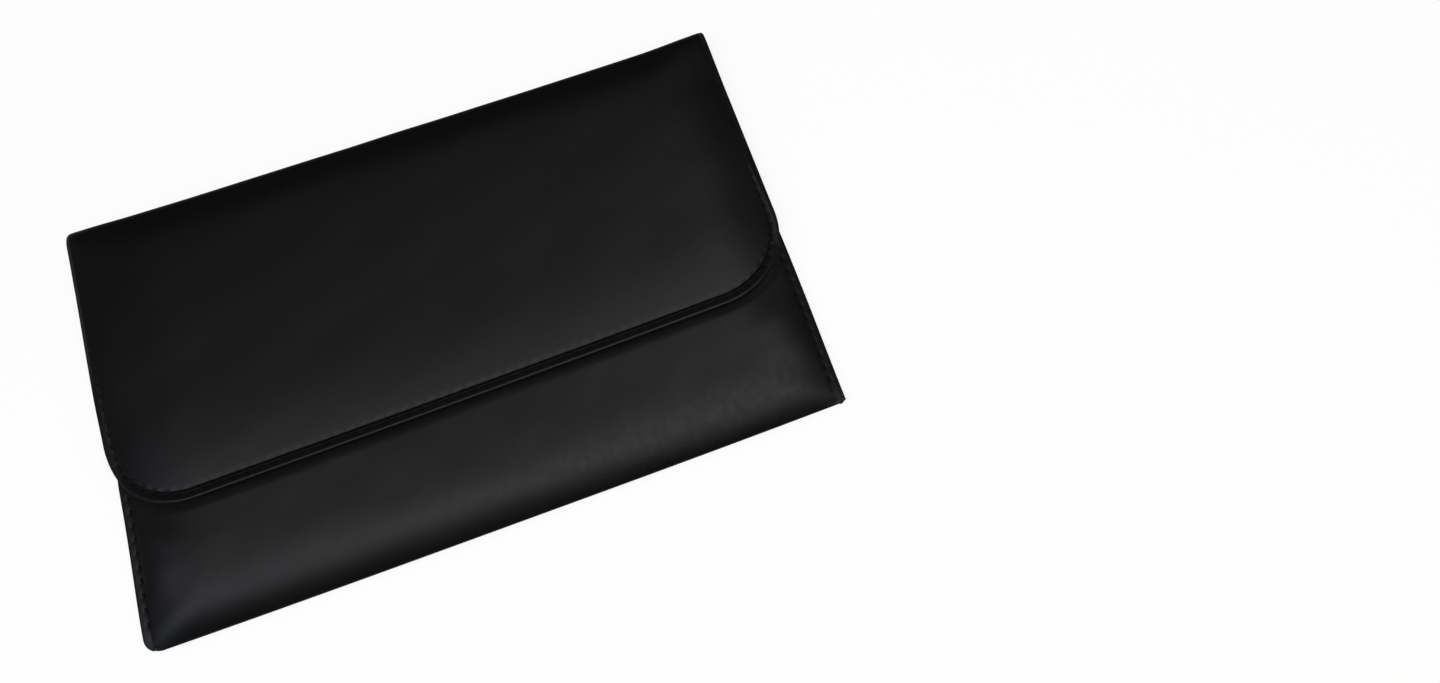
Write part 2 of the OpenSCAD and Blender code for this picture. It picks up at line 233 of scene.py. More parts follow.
# The front leaves the round bottom fold on its tangent: slope = power * rise / width, found by repeating
footSlope = 0.4
for _ in range(12):
    footY = foldY - foldR * math.sin(footSlope)
    footZ = foldR + foldR * math.cos(footSlope)
    footSlope = math.atan(front["bottomFullness"] * (pouch["panelTop"] - footZ) / (pouch["panelY"] - footY))


def rise(t, power):
    # 1 - (1 - t)^power, held at 0 and 1 outside
    return 1 - (1 - np.clip(t, 0, 1)) ** power


def sideClimb(x, power=2.0):
    # 0 on the flat seam and 1 over the front's flat middle, as 1 - (1 - t)^power
    start = pouch["edgeX"] - front["seamWidth"]
    return rise((start - np.abs(x)) / (start - pouch["panelX"]), power)


def beforeFlap(x, y):
    # Distance in front of the closed flap's outline, negative under it: straight sides and quarter circles
    coreX = pouch["flapX"] - flap["cornerR"]
    coreY = pouch["flapY"] + flap["cornerR"]
    corner = np.hypot(np.abs(x) - coreX, np.minimum(y - coreY, 0)) - flap["cornerR"]
    straight = np.maximum(pouch["flapY"] - y, np.abs(x) - pouch["flapX"])
    return np.where((np.abs(x) > coreX) & (y < coreY), corner, straight)


def bothClimbs(x, y, ahead):
    # The side climb a and the bottom climb b join as 1 - ((1 - a)^m + (1 - b)^m)^(1/m), negative at the
    # corners. The sides are fullest in front of the flap, and plainer again towards the bottom corners.
    ease = front["cornerEase"] * smooth((front["cornerFrom"] - y) / front["cornerOver"])
    between = smooth((ahead - 1) / front["fullOver"]) * (1 - ease)
    a = sideClimb(x) + (sideClimb(x, front["sideFullness"]) - sideClimb(x)) * between
    b = rise((y - footY) / (pouch["panelY"] - footY), front["bottomFullness"])
    m = front["mitre"]
    return 1 - ((1 - a) ** m + (1 - b) ** m) ** (1 / m)


def cornerFall(x, y):
    # How far the front's face falls below the seams at the bottom corners
    both = bothClimbs(x, y, beforeFlap(x, y - flapDrawn(x)))
    return (pouch["panelTop"] - footZ) * np.maximum(-both, 0)


def frontHeight(x, y):
    # From the foot at the bottom fold up to the flat middle by the joined climb, with a bell-shaped puff at
    # each bottom corner and the flap's edge pressed in, which fades out behind that edge
    ahead = beforeFlap(x, y - flapDrawn(x))
    level = footZ + (pouch["panelTop"] - footZ) * bothClimbs(x, y, ahead)
    far = ((np.abs(x) - front["puffX"]) ** 2 + (y - front["puffY"]) ** 2) / front["puffR"] ** 2
    held = smooth((pouch["edgeX"] - front["puffInset"] - np.abs(x)) / front["puffFade"])
    held = held * smooth((y - pouch["bottomY"]) / front["puffFade"])
    near = np.clip(1 - ahead / front["pressWidth"], 0, 1) ** front["pressPower"]
    pressed = front["press"] * near * ramp(ahead, front["pressFade"])
    return level + front["puff"] * np.exp(-far) * held - pressed


def liftShare(x, y):
    # Full over the stiff panel and none at the seams and the bottom fold
    side = smooth((front["liftEnd"] - np.abs(x)) / (front["liftEnd"] - front["liftFull"]))
    low = smooth((y - foldY) / (pouch["panelY"] + 1 - foldY))
    return side * low


def underFlap(x):
    # Height of the closed flap's underside: a plain parabola from the side seams to the front's flat middle
    return pouch["seamTop"] + panelRise * sideClimb(x) + pouch["flapGap"]


flap = {
    "cornerR": 28.0,
    "rimHeight": 1.75,
    "grooveDepth": 0.62,
    "grooveFrom": 0.96,  # inset of the rim's crown, from which the groove falls to the seam
    "grooveTo": 3.05,  # inset of the seam, from which the shoulder's foot stands up
    "grooveBow": 1.1,  # power of that fall
    "shoulder": 2.15,  # height at the top of the foot
    "footWidth": 0.6,
    "padFrom": 0.4,  # how far behind the groove the slope of the pad starts
    "full": 3.35,  # height over the foam
    "shoulderEnd": 30.0,
    "padPower": 2.6,
    "sideReach": 31.0,  # nearer to the top fold the groove fades and the side rises in one slope this wide
    "sideFrom": 0.9,
    "sidePower": 2.4,
    "fadeFrom": 24.0,  # how far from the front edge that change starts
    "fadeOver": 38.0,
    "sideRoll": 0.85,  # how far the edge rolls down along the sides
    "rollWidth": 2.2,
    "rollPower": 1.15,
    "rollFrom": (8.0, 16.0),  # how far from the front edge that sets in, and over what distance
    "seamInset": 2.7,
    "foldDepth": 4.5,  # how far from the top fold its roll starts
    "foldHeight": 3.2,
    "foldShare": 0.8,  # the roll takes no more than this share of the height over the split
    "split": 0.45,  # share of the top fold's height that belongs to the back's skin
    "rollLength": 5.5,  # lengths in the flat cut, over the roll and down the fold's wall
    "wallLength": 4.0,
    "droop": 1.7,  # how far the middle sinks on its way to the top fold
    "droopFrom": 30.0,
    "droopPower": 6,
    "underDroop": 0.6,  # share of it that the underside takes
    "underFrom": (50.0, 12.0),  # from here on, behind the mouth
    "cornerLift": 1.0,  # the folded plies lift the two ends of the top fold
    "liftX": (90.0, 22.0),  # from here on towards the sides
    "liftY": (48.0, 20.0),  # and towards the fold
    "skin": 0.4,
    "hemDepth": 1.53,  # depth and width of the turned-in edge
    "hemWidth": 3.7,
    "uneven": 0.05,  # height of the padded skin's slow waves
    "unevenFrom": (5.0, 8.0),  # inset from which they grow
    "pitch": 4.35,
    "stitches": 89,
}


def sideways(p):
    # 0 round the front and its corners, 1 along the sides nearer to the top fold
    return smooth((p - flap["fadeFrom"]) / flap["fadeOver"])


def flapHeight(d, p):
    # Height over the underside at inset d. Front: rim, groove falling to the seam, foot of the shoulder,
    # then the pad as 1 - (1 - t)^padPower to the flat. Sides: the top rises as 1 - (1 - t)^sidePower, less
    # the climb of the underside, and the edge rolls down as (1 - t)^rollPower.
    way = np.clip((d - flap["grooveFrom"]) / (flap["grooveTo"] - flap["grooveFrom"]), 0, 1)
    foot = np.clip((d - flap["grooveTo"]) / flap["footWidth"], 0, 1)
    padWidth = flap["shoulderEnd"] - flap["grooveTo"] - flap["padFrom"]
    run = np.clip((d - flap["grooveTo"] - flap["padFrom"]) / padWidth, 0, 1)
    sewn = flap["rimHeight"] - flap["grooveDepth"] * way ** flap["grooveBow"]
    sewn = sewn + foot * (flap["shoulder"] - flap["rimHeight"] + flap["grooveDepth"])
    sewn = sewn + (flap["full"] - flap["shoulder"]) * rise(run, flap["padPower"])
    climb = panelRise * sideClimb(pouch["flapX"] - d)
    swell = rise((d - flap["sideFrom"]) / flap["sideReach"], flap["sidePower"])
    slope = flap["rimHeight"] + (panelRise + flap["full"] - flap["rimHeight"]) * swell
    edge = np.clip(1 - d / flap["rollWidth"], 0, 1) ** flap["rollPower"]
    roll = flap["sideRoll"] * edge * ramp(p, flap["rollFrom"])
    return sewn + (slope - climb - sewn) * sideways(p) - roll


def topSway(x, y):
    # The padded middle sinks with a high power of the way to the top fold, and the fold's two ends are lifted
    way = np.clip((y - flap["droopFrom"]) / (pouch["topY"] - flap["foldDepth"] - flap["droopFrom"]), 0, 1)
    lift = ramp(np.abs(x), flap["liftX"]) * ramp(y, flap["liftY"])
    return flap["cornerLift"] * lift - flap["droop"] * way ** flap["droopPower"] * sideClimb(x)


def underAt(x, y):
    # Underside of the flap: it sinks after the mouth with part of the top, and rises with the fold's ends
    sway = topSway(x, y)
    sunk = flap["underDroop"] * np.minimum(sway, 0) * ramp(y, flap["underFrom"])
    return underFlap(x) + np.maximum(sway, 0) + sunk


# Length of the flat cut from the front edge to where the top fold's roll starts
levelLength = pouch["topY"] - flap["foldDepth"] - pouch["flapY"]
rollLength, wallLength = flap["rollLength"], flap["wallLength"]


def splitHeight(x):
    # Height at which the skin of the top fold changes from the back's piece to the flap's: a share of the
    # way from the crease to the fold's crown
    side = flapHeight(pouch["flapX"] - np.abs(x), levelLength)
    crown = underFlap(x) + side + topSway(x, pouch["topY"])
    return pouch["creaseR"] + (crown - pouch["creaseR"]) * flap["split"]


def flapPoint(x, p, d, n):
    # From the flat cut to the folded flap: level, a quarter ellipse over the top fold, then straight down.
    # p runs from the front edge over the top, d is the inset and n the depth under the face.
    y = pouch["flapY"] + np.minimum(p, levelLength)
    crown = underFlap(x) + flapHeight(d, p) + topSway(x, y)
    z = crown - n
    turn = np.clip((p - levelLength) / rollLength, 0, 1) * math.pi / 2
    high = np.minimum(flap["foldHeight"], flap["foldShare"] * (crown - splitHeight(x)))
    rolled = p > levelLength
    centreY = pouch["topY"] - flap["foldDepth"]
    y = np.where(rolled, centreY + (flap["foldDepth"] - n) * np.sin(turn), y)
    z = np.where(rolled, crown - high + (high - np.minimum(n, high)) * np.cos(turn), z)
    fall = np.clip((p - levelLength - rollLength) / wallLength, 0, 1)
    return x + 0 * y, y, z - fall * (crown - high - splitHeight(x))


def settled(x, y, z, onFlap=False):
    # Departures of a pouch that lies empty. The top fold is pulled in and the bottom fold pushed out as
    # 1 - r^power, r being the way to the side. The top fold's ends are quarter circles. The sides sway.
    reach = np.clip(np.abs(x) / pouch["flapX"], 0, 1)
    leaning = 1 + settle["sagRight"] * x / pouch["flapX"]
    sag = settle["foldSag"] * (1 - reach ** settle["sagPower"]) * leaning * ramp(y, settle["sagFrom"])
    bow = sag + settle["bottomBulge"] * (1 - reach ** settle["bulgePower"]) * ramp(-y, settle["bulgeFrom"])
    cut = np.where(x < 0, settle["leftEnd"], settle["rightEnd"])
    over = np.clip((np.abs(x) - (pouch["flapX"] - cut)) / cut, 0, 1)
    end = ramp(y, settle["endFrom"]) * cut * (1 - np.sqrt(1 - over**2)) * settle["endDepth"]
    aside = ramp(np.abs(x), settle["shiftX"]) * ramp(y, settle["shiftFront"])
    aside = aside * (1 - ramp(y, settle["shiftBack"]))
    shift = aside * np.where(x < 0, settle["leftShift"], settle["rightShift"])
    if onFlap:
        y = y + flapDrawn(x) * (1 - smooth((y - pouch["flapY"]) / settle["flapShortOver"]))
        middle, width = settle["flapLeftBell"]
        shift = settle["flapLeft"] * ramp(-x, settle["flapLeftX"]) * bell(y - middle, width)
        wider = settle["flapWider"] * ramp(-x, settle["flapWiderX"])
        shift = shift - wider * (1 - ramp(y, settle["flapWiderBack"]))
    return np.stack([x + shift, y - bow - end, z], axis=-1)


# Flap skin: a fine strip round the sewn edge, joined to a coarser field over the middle

def cornerMapped(x, p, inset):
    # Bends the squares at the front corners into quarter discs, with L-shaped lines becoming arcs
    size = flap["cornerR"] - inset
    coreX = pouch["flapX"] - flap["cornerR"]
    ax = (np.abs(x) - coreX) / size
    by = (flap["cornerR"] - p) / size
    inside = (ax > 0) & (by > 0)
    larger = np.maximum(np.maximum(ax, by), 1e-9)
    angle = math.pi / 4 * np.minimum(ax, by) / larger
    along, across = size * larger * np.cos(angle), size * larger * np.sin(angle)
    newX = coreX + np.where(ax >= by, along, across)
    newP = flap["cornerR"] - np.where(ax >= by, across, along)
    return np.where(inside, np.sign(x) * newX, x), np.where(inside, newP, p)


def flapInset(x, p):
    # Distance from the flap's edge
    coreX = pouch["flapX"] - flap["cornerR"]
    inCorner = (np.abs(x) > coreX) & (p < flap["cornerR"])
    radial = flap["cornerR"] - np.hypot(np.abs(x) - coreX, flap["cornerR"] - p)
    return np.where(inCorner, radial, np.minimum(pouch["flapX"] - np.abs(x), p))


def fieldLines(inset, cornerCells, frontCells, sideCells, rollCells, wallCells):
    # Columns and rows of a field with the flap's outline at an inset, with equal cells in each stretch
    reach = pouch["flapX"] - inset
    overRoll = levelLength + rollLength
    coreX = pouch["flapX"] - flap["cornerR"]
    columns = np.concatenate([
        np.linspace(-reach, -coreX, cornerCells + 1),
        np.linspace(-coreX, coreX, frontCells + 1)[1:],
        np.linspace(coreX, reach, cornerCells + 1)[1:]])
    rows = np.concatenate([
        np.linspace(inset, flap["cornerR"], cornerCells + 1),
        np.linspace(flap["cornerR"], levelLength, sideCells + 1)[1:],
        np.linspace(levelLength, overRoll, rollCells + 1)[1:],
        np.linspace(overRoll, overRoll + wallLength, wallCells + 1)[1:]])
    return columns, rows


def edgePath(cells):
    # Points of the flap's outline and their inward directions, from the left end of the fold's wall round
    # the front to its right end: straight lines joined by quarter circles
    cornerCells, frontCells, sideCells, rollCells, wallCells = cells
    coreX = pouch["flapX"] - flap["cornerR"]
    top = levelLength + rollLength + wallLength
    side = np.concatenate([
        np.linspace(top, top - wallLength, wallCells + 1),
        np.linspace(top - wallLength, levelLength, rollCells + 1)[1:],
        np.linspace(levelLength, flap["cornerR"], sideCells + 1)[1:]])
    turn = np.linspace(0, math.pi / 2, 2 * cornerCells + 1)[1:]
    frontX = np.linspace(-coreX, coreX, frontCells + 1)[1:-1]
    leftX = np.concatenate([np.full(len(side), -pouch["flapX"]), -coreX - flap["cornerR"] * np.cos(turn)])
    leftP = np.concatenate([side, flap["cornerR"] - flap["cornerR"] * np.sin(turn)])
    leftNx = np.concatenate([np.ones(len(side)), np.cos(turn)])
    leftNp = np.concatenate([np.zeros(len(side)), np.sin(turn)])
    x = np.concatenate([leftX, frontX, -leftX[::-1]])
    p = np.concatenate([leftP, 0 * frontX, leftP[::-1]])
    nx = np.concatenate([leftNx, 0 * frontX, -leftNx[::-1]])
    nP = np.concatenate([leftNp, 0 * frontX + 1, leftNp[::-1]])
    return x, p, nx, nP


def seamRun(x, p, nx, nP, inset):
    # Length along the seam line at each point of the outline, counted from the middle of the front
    sx, sp = x + nx * inset, p + nP * inset
    run = np.concatenate([[0], np.cumsum(np.hypot(np.diff(sx), np.diff(sp)))])
    return run - run[-1] / 2


fieldCells = (15, 118, 47, 5, 3)  # of the coarser field: corner, front, side, roll and wall
fineRatio = 3  # cells of the sewn edge to each of those
fieldInset = 6.4  # where the field takes over from the sewn edge
flapArc = 10  # cells round the bead of its turned-in edge


def beadRings(thickness, hemDepth, hemWidth, arcCells):
    # Turned-in edge as insets and depths: from the hem's inner end level out to flatTo from the bead, by one
    # short slope down to slopeTo from it, and round its half circle
    rings, flatTo, slopeTo, lessDeep = 5, 0.45, 0.15, 0.05
    r = thickness / 2
    angle = np.linspace(0, math.pi, arcCells + 1)
    hem = np.linspace(hemWidth, r + flatTo, rings)
    insets = np.concatenate([hem, [r + slopeTo], r * (1 - np.sin(angle))])
    depths = np.concatenate([np.full(rings, hemDepth), [thickness - lessDeep], r * (1 + np.cos(angle))])
    return insets, depths


dimple = {
    "hole": 0.16,  # depths, places as insets, and widths of the three bells across the seam
    "holeWidth": 0.8,
    "foot": 0.22,
    "footAt": 3.8,
    "footWidth": 0.7,
    "rim": 0.04,
    "rimAt": 1.2,
    "rimWidth": 0.8,
    "fainter": 0.85,  # share that is lost along the sides
    "fadeFrom": (8.0, 24.0),
}


def dimpleAt(run, d, p):
    # Skin drawn down at the ends of each stitch: a cosine along the seam times a bell across it, for the
    # hole, the foot of the shoulder and the rim
    beat = np.cos(2 * math.pi * run / flap["pitch"])
    hole = np.clip(-beat, 0, 1) ** 3 * bell(d - flap["seamInset"], dimple["holeWidth"])
    foot = (0.5 - 0.5 * beat) * bell(d - dimple["footAt"], dimple["footWidth"])
    rim = (0.5 - 0.5 * beat) * bell(d - dimple["rimAt"], dimple["rimWidth"])
    drawn = dimple["hole"] * hole + dimple["foot"] * foot + dimple["rim"] * rim
    return drawn * (1 - dimple["fainter"] * ramp(p, dimple["fadeFrom"]))


def flapWaves(x, y, d):
    # Slight unevenness of the padded skin, none at the sewn edge
    waves = ripples(x, y, seed=4, count=9, shortest=18, longest=60, amplitude=flap["uneven"])
    return waves * ramp(d, flap["unevenFrom"])


# Insets of the rings over the sewn edge: even over the rim and groove, close at the foot, wider up the pad
ringInsets = np.concatenate([
    np.linspace(1.1, 2.97, 7), [3.05, 3.12, 3.25, 3.45, 3.65, 3.9, 4.2, 4.55, 4.95, 5.4, 5.8]])


def makeFlapSkin():
    # The sewn edge is the outline moved in along its inward directions, ring by ring, and the field is a grid
    # with its front corners bent round. flapPoint folds both over the top.
    fine = [fineRatio * c for c in fieldCells]
    x, p, nx, nP = edgePath(fine)
    run = seamRun(x, p, nx, nP, flap["seamInset"])
    insets, depths = beadRings(flap["rimHeight"], flap["hemDepth"], flap["hemWidth"], flapArc)
    insets, depths = np.concatenate([insets, ringInsets]), np.concatenate([depths, 0 * ringInsets])
    ringX = x + nx * insets[:, None]
    ringP = p + nP * insets[:, None]
    d = insets[:, None] + 0 * ringX
    n = depths[:, None] + dimpleAt(run, d, ringP) * (depths[:, None] < flap["skin"]) + 0 * ringX
    strip = settled(*flapPoint(ringX, ringP, d, n), onFlap=True)
    stripFaces = gridFaces(len(insets), len(x))

    columns, rows = fieldLines(fieldInset, *fieldCells)
    gridX, gridP = cornerMapped(*np.meshgrid(columns, rows), fieldInset)
    inset = flapInset(gridX, gridP)
    gridN = -flapWaves(gridX, gridP, inset)
    field = settled(*flapPoint(gridX, gridP, inset, gridN), onFlap=True)
    first = strip[..., 0].size
    fieldFaces = gridFaces(len(rows), len(columns), first)

    # The field's outer points in the outline's order, and the triangles that join three fine cells to one
    index = first + np.arange(gridX.size).reshape(gridX.shape)
    ring = np.concatenate([index[::-1, 0], index[0, 1:-1], index[:, -1]])
    last = (len(insets) - 1) * len(x) + np.arange(len(x))
    f0, f1, f2, f3 = last[:-1:3], last[1::3], last[2::3], last[3::3]
    c0, c1 = ring[:-1], ring[1:]
    triples = ((f0, f1, c0), (f1, f2, c0), (f2, c1, c0), (f2, f3, c1))
    join = np.concatenate([np.stack(triple, axis=-1) for triple in triples])

    points = np.concatenate([strip.reshape(-1, 3), field.reshape(-1, 3)])
    uv = np.concatenate([flatCut(ringX, ringP), flatCut(gridX, gridP)])
    piece = addMesh("flapSkin", points, [stripFaces, fieldFaces, join], uv)
    share = 1 - smooth((uv[:, 1] - levelLength) / rollLength)
    return piece, share


# Skins of the front and back, each a grid with turned-in side edges

pocket = {
    "skin": 0.3,
    "frontBead": 1.65,  # thickness of the front's side edge with its turned-in hem
    "frontHem": 1.4,  # depth of that hem
    "backBead": 1.75,
    "backHem": 1.6,
    "hemWidth": 7.0,
    "edgeTo": 8.0,  # inset to which the columns lie close
    "frontCells": (8, 18, 128),  # cells of the grid: round the bead, over the edge, over the middle
    "frontRows": 166,
    "backCells": (8, 14, 60),
    "backRows": 170,
    "turnRows": 8,  # rows round the bottom fold's half and round the crease
    "mouthHem": 7.0,
    "mouthFold": 2.0,  # depth of the skin turned in under the mouth's stiffening
    "mouthThinTo": 15.0,  # inset within which the mouth is thinner, down to the side hem's depth
    "mouthThinOver": 14.0,
    "hemApart": 0.06,  # the mouth's hem stays this far under the side hems' level
    "hemStep": 0.015,  # and the side hems sink by this share of their depth where the two lie on each other
    "stitchPitch": 4.43,
    "stitches": 27,
    "mouthPitch": 4.4,
    "mouthStitches": 39,
    "seamInset": 2.7,
    "seamSink": 0.12,  # how far the skin is drawn down along the side seam
    "stitchSink": 0.3,  # and how much further under each stitch
    "seamBell": 1.2,  # widths of the two
    "stitchBell": 0.75,
    "stitchPower": 1.5,
    "seamFrom": (-69.0, 3.0),  # y where the seam starts
    "drawnPly": 0.9,  # depth down to which the seam draws the plies along
    "rolledPly": 1.5,  # depth down to which the edge rolls off
    "fallenPly": 2.0,  # depth down to which the bottom corners fall
    "rollMost": 1.6,  # a roll of this much leaves nothing of that fall
    "leftRoll": 0.2,  # slope of the edge outside the seam
    "rightRoll": 0.52,
    "rollEase": 0.2,  # how gently that slope sets in
    "leftCorner": 4.6,  # radius of the bottom corners
    "rightCorner": 1.6,
    "backThinner": 0.2,  # share by which the back's hems grow thinner behind the mouth
    "backThinFrom": (60.0, 8.0),
    "wallRun": 8.0,  # height of the spine's wall in the flat cut
    "widerFrom": (60.0, 10.0),  # y where the pocket grows as wide as the flap
    "threadSunk": 0.34,  # how far the seam thread's axis lies below the front's face before it is drawn down
}


def sideProfile(bead, hem, arcCells, fineCells):
    # Insets and depths of one side from the hem's inner end round the bead and in over the seam
    insets, depths = beadRings(bead, hem, pocket["hemWidth"], arcCells)
    over = np.linspace(bead / 2, pocket["edgeTo"], fineCells + 1)[1:]
    return np.concatenate([insets, over]), np.concatenate([depths, 0 * over])


def mirrored(insets, depths, halfX, middleCells):
    # Whole width as signed insets: side -1 or 1, inset from that side's edge, and depth
    inner = np.linspace(-(halfX - insets[-1]), halfX - insets[-1], middleCells + 1)[1:-1]
    side = np.concatenate([-np.ones(len(insets)), np.sign(inner), np.ones(len(insets))])
    inset = np.concatenate([insets, halfX - np.abs(inner), insets[::-1]])
    depth = np.concatenate([depths, 0 * inner, depths[::-1]])
    return side, inset, depth


def seamDimple(y, inset):
    # The skin is drawn down along the side seam in a bell across it, and more under each stitch
    beat = np.cos(2 * math.pi * (y - pouch["mouthY"]) / pocket["stitchPitch"] + math.pi)
    off = inset - pocket["seamInset"]
    stitched = np.clip(beat, 0, 1) ** pocket["stitchPower"]
    stitched = pocket["stitchSink"] * stitched * bell(off, pocket["stitchBell"])
    return pocket["seamSink"] * bell(off, pocket["seamBell"]) + stitched


def edgeRoll(inset, side):
    # Outside the seam the edge falls away at a nearly even slope: t^2 / (t + ease), t being the way past it
    ease = pocket["rollEase"]
    way = np.clip(pocket["seamInset"] + ease - inset, 0, None)
    return np.where(side < 0, pocket["leftRoll"], pocket["rightRoll"]) * way**2 / (way + ease)


def widthAt(y, side):
    # Half width of the pocket: its bottom corners are rounded, and the top fold is as wide as the flap
    r = np.where(side < 0, pocket["leftCorner"], pocket["rightCorner"])
    low = np.clip((pouch["bottomY"] + r - y) / r, 0, 1)
    wider = (pouch["flapX"] - pouch["edgeX"]) * ramp(y, pocket["widerFrom"])
    return pouch["edgeX"] - r * (1 - np.sqrt(1 - low**2)) + wider


gathers = {
    "count": 26,
    "seed": 11,
    "from": -100.0,
    "over": 205.0,
    "width": (0.9, 1.6),  # least, and how much more by chance
    "depth": (0.02, 0.06),
    "lean": 0.25,
    "middleY": -60.0,
    "crowd": 0.7,  # power of the random place: below 1 more of them lie to the right
    "leftShare": 0.3,  # share of the depth at the left, and how much more at the right
    "rightMore": 0.6,
    "rightFrom": (-40.0, 80.0),
    "fromY": (-71.0, 4.0),  # where they set in at the bottom fold, and fade out on the front
    "toY": (-58.0, 12.0),
}


def borderCreases(x, y):
    # Fine gathers that run down the soft bottom border, stronger to the right: a sum of leaning grooves
    chance = np.random.default_rng(gathers["seed"])
    total = np.zeros(np.broadcast(x, y).shape)
    for _ in range(gathers["count"]):
        at = gathers["from"] + gathers["over"] * chance.random() ** gathers["crowd"]
        wide = gathers["width"][0] + gathers["width"][1] * chance.random()
        deep = gathers["depth"][0] + gathers["depth"][1] * chance.random()
        deep = deep * (gathers["leftShare"] + gathers["rightMore"] * ramp(at, gathers["rightFrom"]))
        lean = gathers["lean"] * (chance.random() - 0.5)
        total = total - deep * bell(x - at - lean * (y - gathers["middleY"]), wide)
    return total * ramp(y, gathers["fromY"]) * (1 - ramp(y, gathers["toY"]))


def makeFrontSkin():
    # A grid of rows down the front by a profile across it. The face follows frontHeight, n is the depth of
    # each point under it, and below the foot the rows turn round the half circle of the bottom fold.
    arcCells, edgeCells, middleCells = pocket["frontCells"]
    insets, depths = sideProfile(pocket["frontBead"], pocket["frontHem"], arcCells, edgeCells)
    side, inset, depth = mirrored(insets, depths, pouch["edgeX"], middleCells)
    # Rows: hem inside the mouth, round the mouth's lip, down the front, round half of the bottom fold
    lipR = pocket["mouthFold"] / 2
    lip = np.linspace(0, math.pi, 9)
    hemRows = np.linspace(pocket["mouthHem"], lipR + 0.5, 5)
    mainRows = np.linspace(pouch["mouthY"] - lipR, footY, pocket["frontRows"])[1:]
    foldTurn = np.linspace(footSlope, math.pi / 2, pocket["turnRows"])[1:]
    lipRows = pouch["mouthY"] - lipR * (1 - np.sin(lip))
    rowY = np.concatenate([pouch["mouthY"] - hemRows, lipRows, mainRows, 0 * foldTurn + footY])
    rowN = np.concatenate([0 * hemRows + 2 * lipR, lipR * (1 + np.cos(lip)), 0 * mainRows, 0 * foldTurn])
    rowTurn = np.concatenate([0 * hemRows, 0 * lip, 0 * mainRows, foldTurn])
    y = rowY[:, None] + 0 * inset
    hemShare = (pocket["frontHem"] + pocket["hemApart"]) / pocket["mouthFold"]
    nearSide = smooth((pocket["mouthThinTo"] - inset) / pocket["mouthThinOver"])
    mouthThin = 1 - (1 - hemShare) * nearSide
    n = np.maximum(rowN[:, None] * mouthThin, depth + 0 * y) + pocket["hemStep"] * depth * rowN[:, None]
    edgeY = np.where(rowTurn[:, None] > 0, foldY - foldR * np.sin(rowTurn)[:, None] + 0 * inset, y)
    x = side * (widthAt(edgeY, side) - inset * widthAt(edgeY, side) / pouch["edgeX"])
    top = n < pocket["skin"]
    fall = cornerFall(x, y)
    waves = ripples(x, y, seed=7, count=8, shortest=14, longest=45, amplitude=front["uneven"])
    z = frontHeight(x, y) + fall - n + top * (borderCreases(x, y) + waves * ramp(y, front["unevenFrom"]))
    # Only the skin near the face is drawn down by the seam and rolled off at the edge
    outer = np.clip(1 - n / pocket["drawnPly"], 0, 1)
    roll = edgeRoll(inset, side)
    fallen = np.clip(1 - n / pocket["fallenPly"], 0, 1) * fall * (1 - roll / pocket["rollMost"])
    roll = np.clip(1 - n / pocket["rolledPly"], 0, 1) * roll + fallen
    z = z - outer * seamDimple(y, inset + 0 * y) * ramp(y, pocket["seamFrom"]) - roll
    turned = rowTurn[:, None] > 0
    bent = np.cos(rowTurn)[:, None]
    z = np.where(turned, foldR + (foldR - n - roll / math.cos(footSlope)) * bent, z)
    y = np.where(turned, foldY - (foldR - n) * np.sin(rowTurn)[:, None], y)
    uv = flatCut(side * (pouch["edgeX"] - inset + depth) + 0 * y, rowY[:, None] + 0 * inset)
    return addGrid("frontSkin", settled(x, y, z), uv, flip=True), liftShare(x, y)


def makeBackSkin():
    # The same profile carried round the lower half of the bottom fold, along the flat back, round the
    # quarter circle of the crease and up the spine's wall
    arcCells, edgeCells, middleCells = pocket["backCells"]
    insets, depths = sideProfile(pocket["backBead"], pocket["backHem"], arcCells, edgeCells)
    side, inset, depth = mirrored(insets, depths, pouch["edgeX"], middleCells)
    foldTurn = np.linspace(math.pi / 2, math.pi, pocket["turnRows"])
    mainRows = np.linspace(foldY, pouch["creaseY"], pocket["backRows"])[1:]
    crease = np.linspace(0, math.pi / 2, pocket["turnRows"])[1:]
    wall = np.linspace(0, 1, 6)[1:]
    still = [0 * foldTurn, 0 * mainRows, 0 * crease]
    atCrease = np.full(len(crease) + len(wall), pouch["creaseY"])
    rowY = np.concatenate([0 * foldTurn + foldY, mainRows, atCrease])
    rowFold = np.concatenate([foldTurn, np.full(len(rowY) - len(foldTurn), math.pi)])
    rowCrease = np.concatenate([*still[:2], crease, 0 * wall + math.pi / 2])
    rowWall = np.concatenate([*still, wall])
    fold, creased = rowFold[:, None], rowCrease[:, None]
    n = depth * (1 - pocket["backThinner"] * ramp(rowY[:, None], pocket["backThinFrom"]))
    edgeY = foldY - foldR * np.sin(fold) + (rowY[:, None] - foldY) + 0 * inset
    x = side * (widthAt(edgeY, side) - inset * widthAt(edgeY, side) / pouch["edgeX"])
    r = pouch["creaseR"]
    outer = np.clip(1 - depth / pocket["drawnPly"], 0, 1)
    under = seamDimple(rowY[:, None] + 0 * inset, inset + 0 * x) * outer
    under = under * smooth((pouch["mouthY"] - rowY[:, None]) / 2) * ramp(rowY[:, None], pocket["seamFrom"])
    y = rowY[:, None] - (foldR - n) * np.sin(fold) + (r - n) * np.sin(creased)
    z = foldR + (foldR - n) * np.cos(fold) + np.maximum(under, 0)
    z = np.where(creased > 0, r - (r - n) * np.cos(creased), z)
    z = z + rowWall[:, None] * (splitHeight(x) - r)
    run = rowY[:, None] + rowWall[:, None] * pocket["wallRun"] + 0 * inset
    uv = flatCut(side * (pouch["edgeX"] - inset + depth) + 0 * y, run)
    piece = addGrid("backSkin", settled(x, y, z), uv, flip=True)
    return piece, smooth(rowCrease / (math.pi / 2))[:, None] + 0 * x


# Linings, foam and stitches

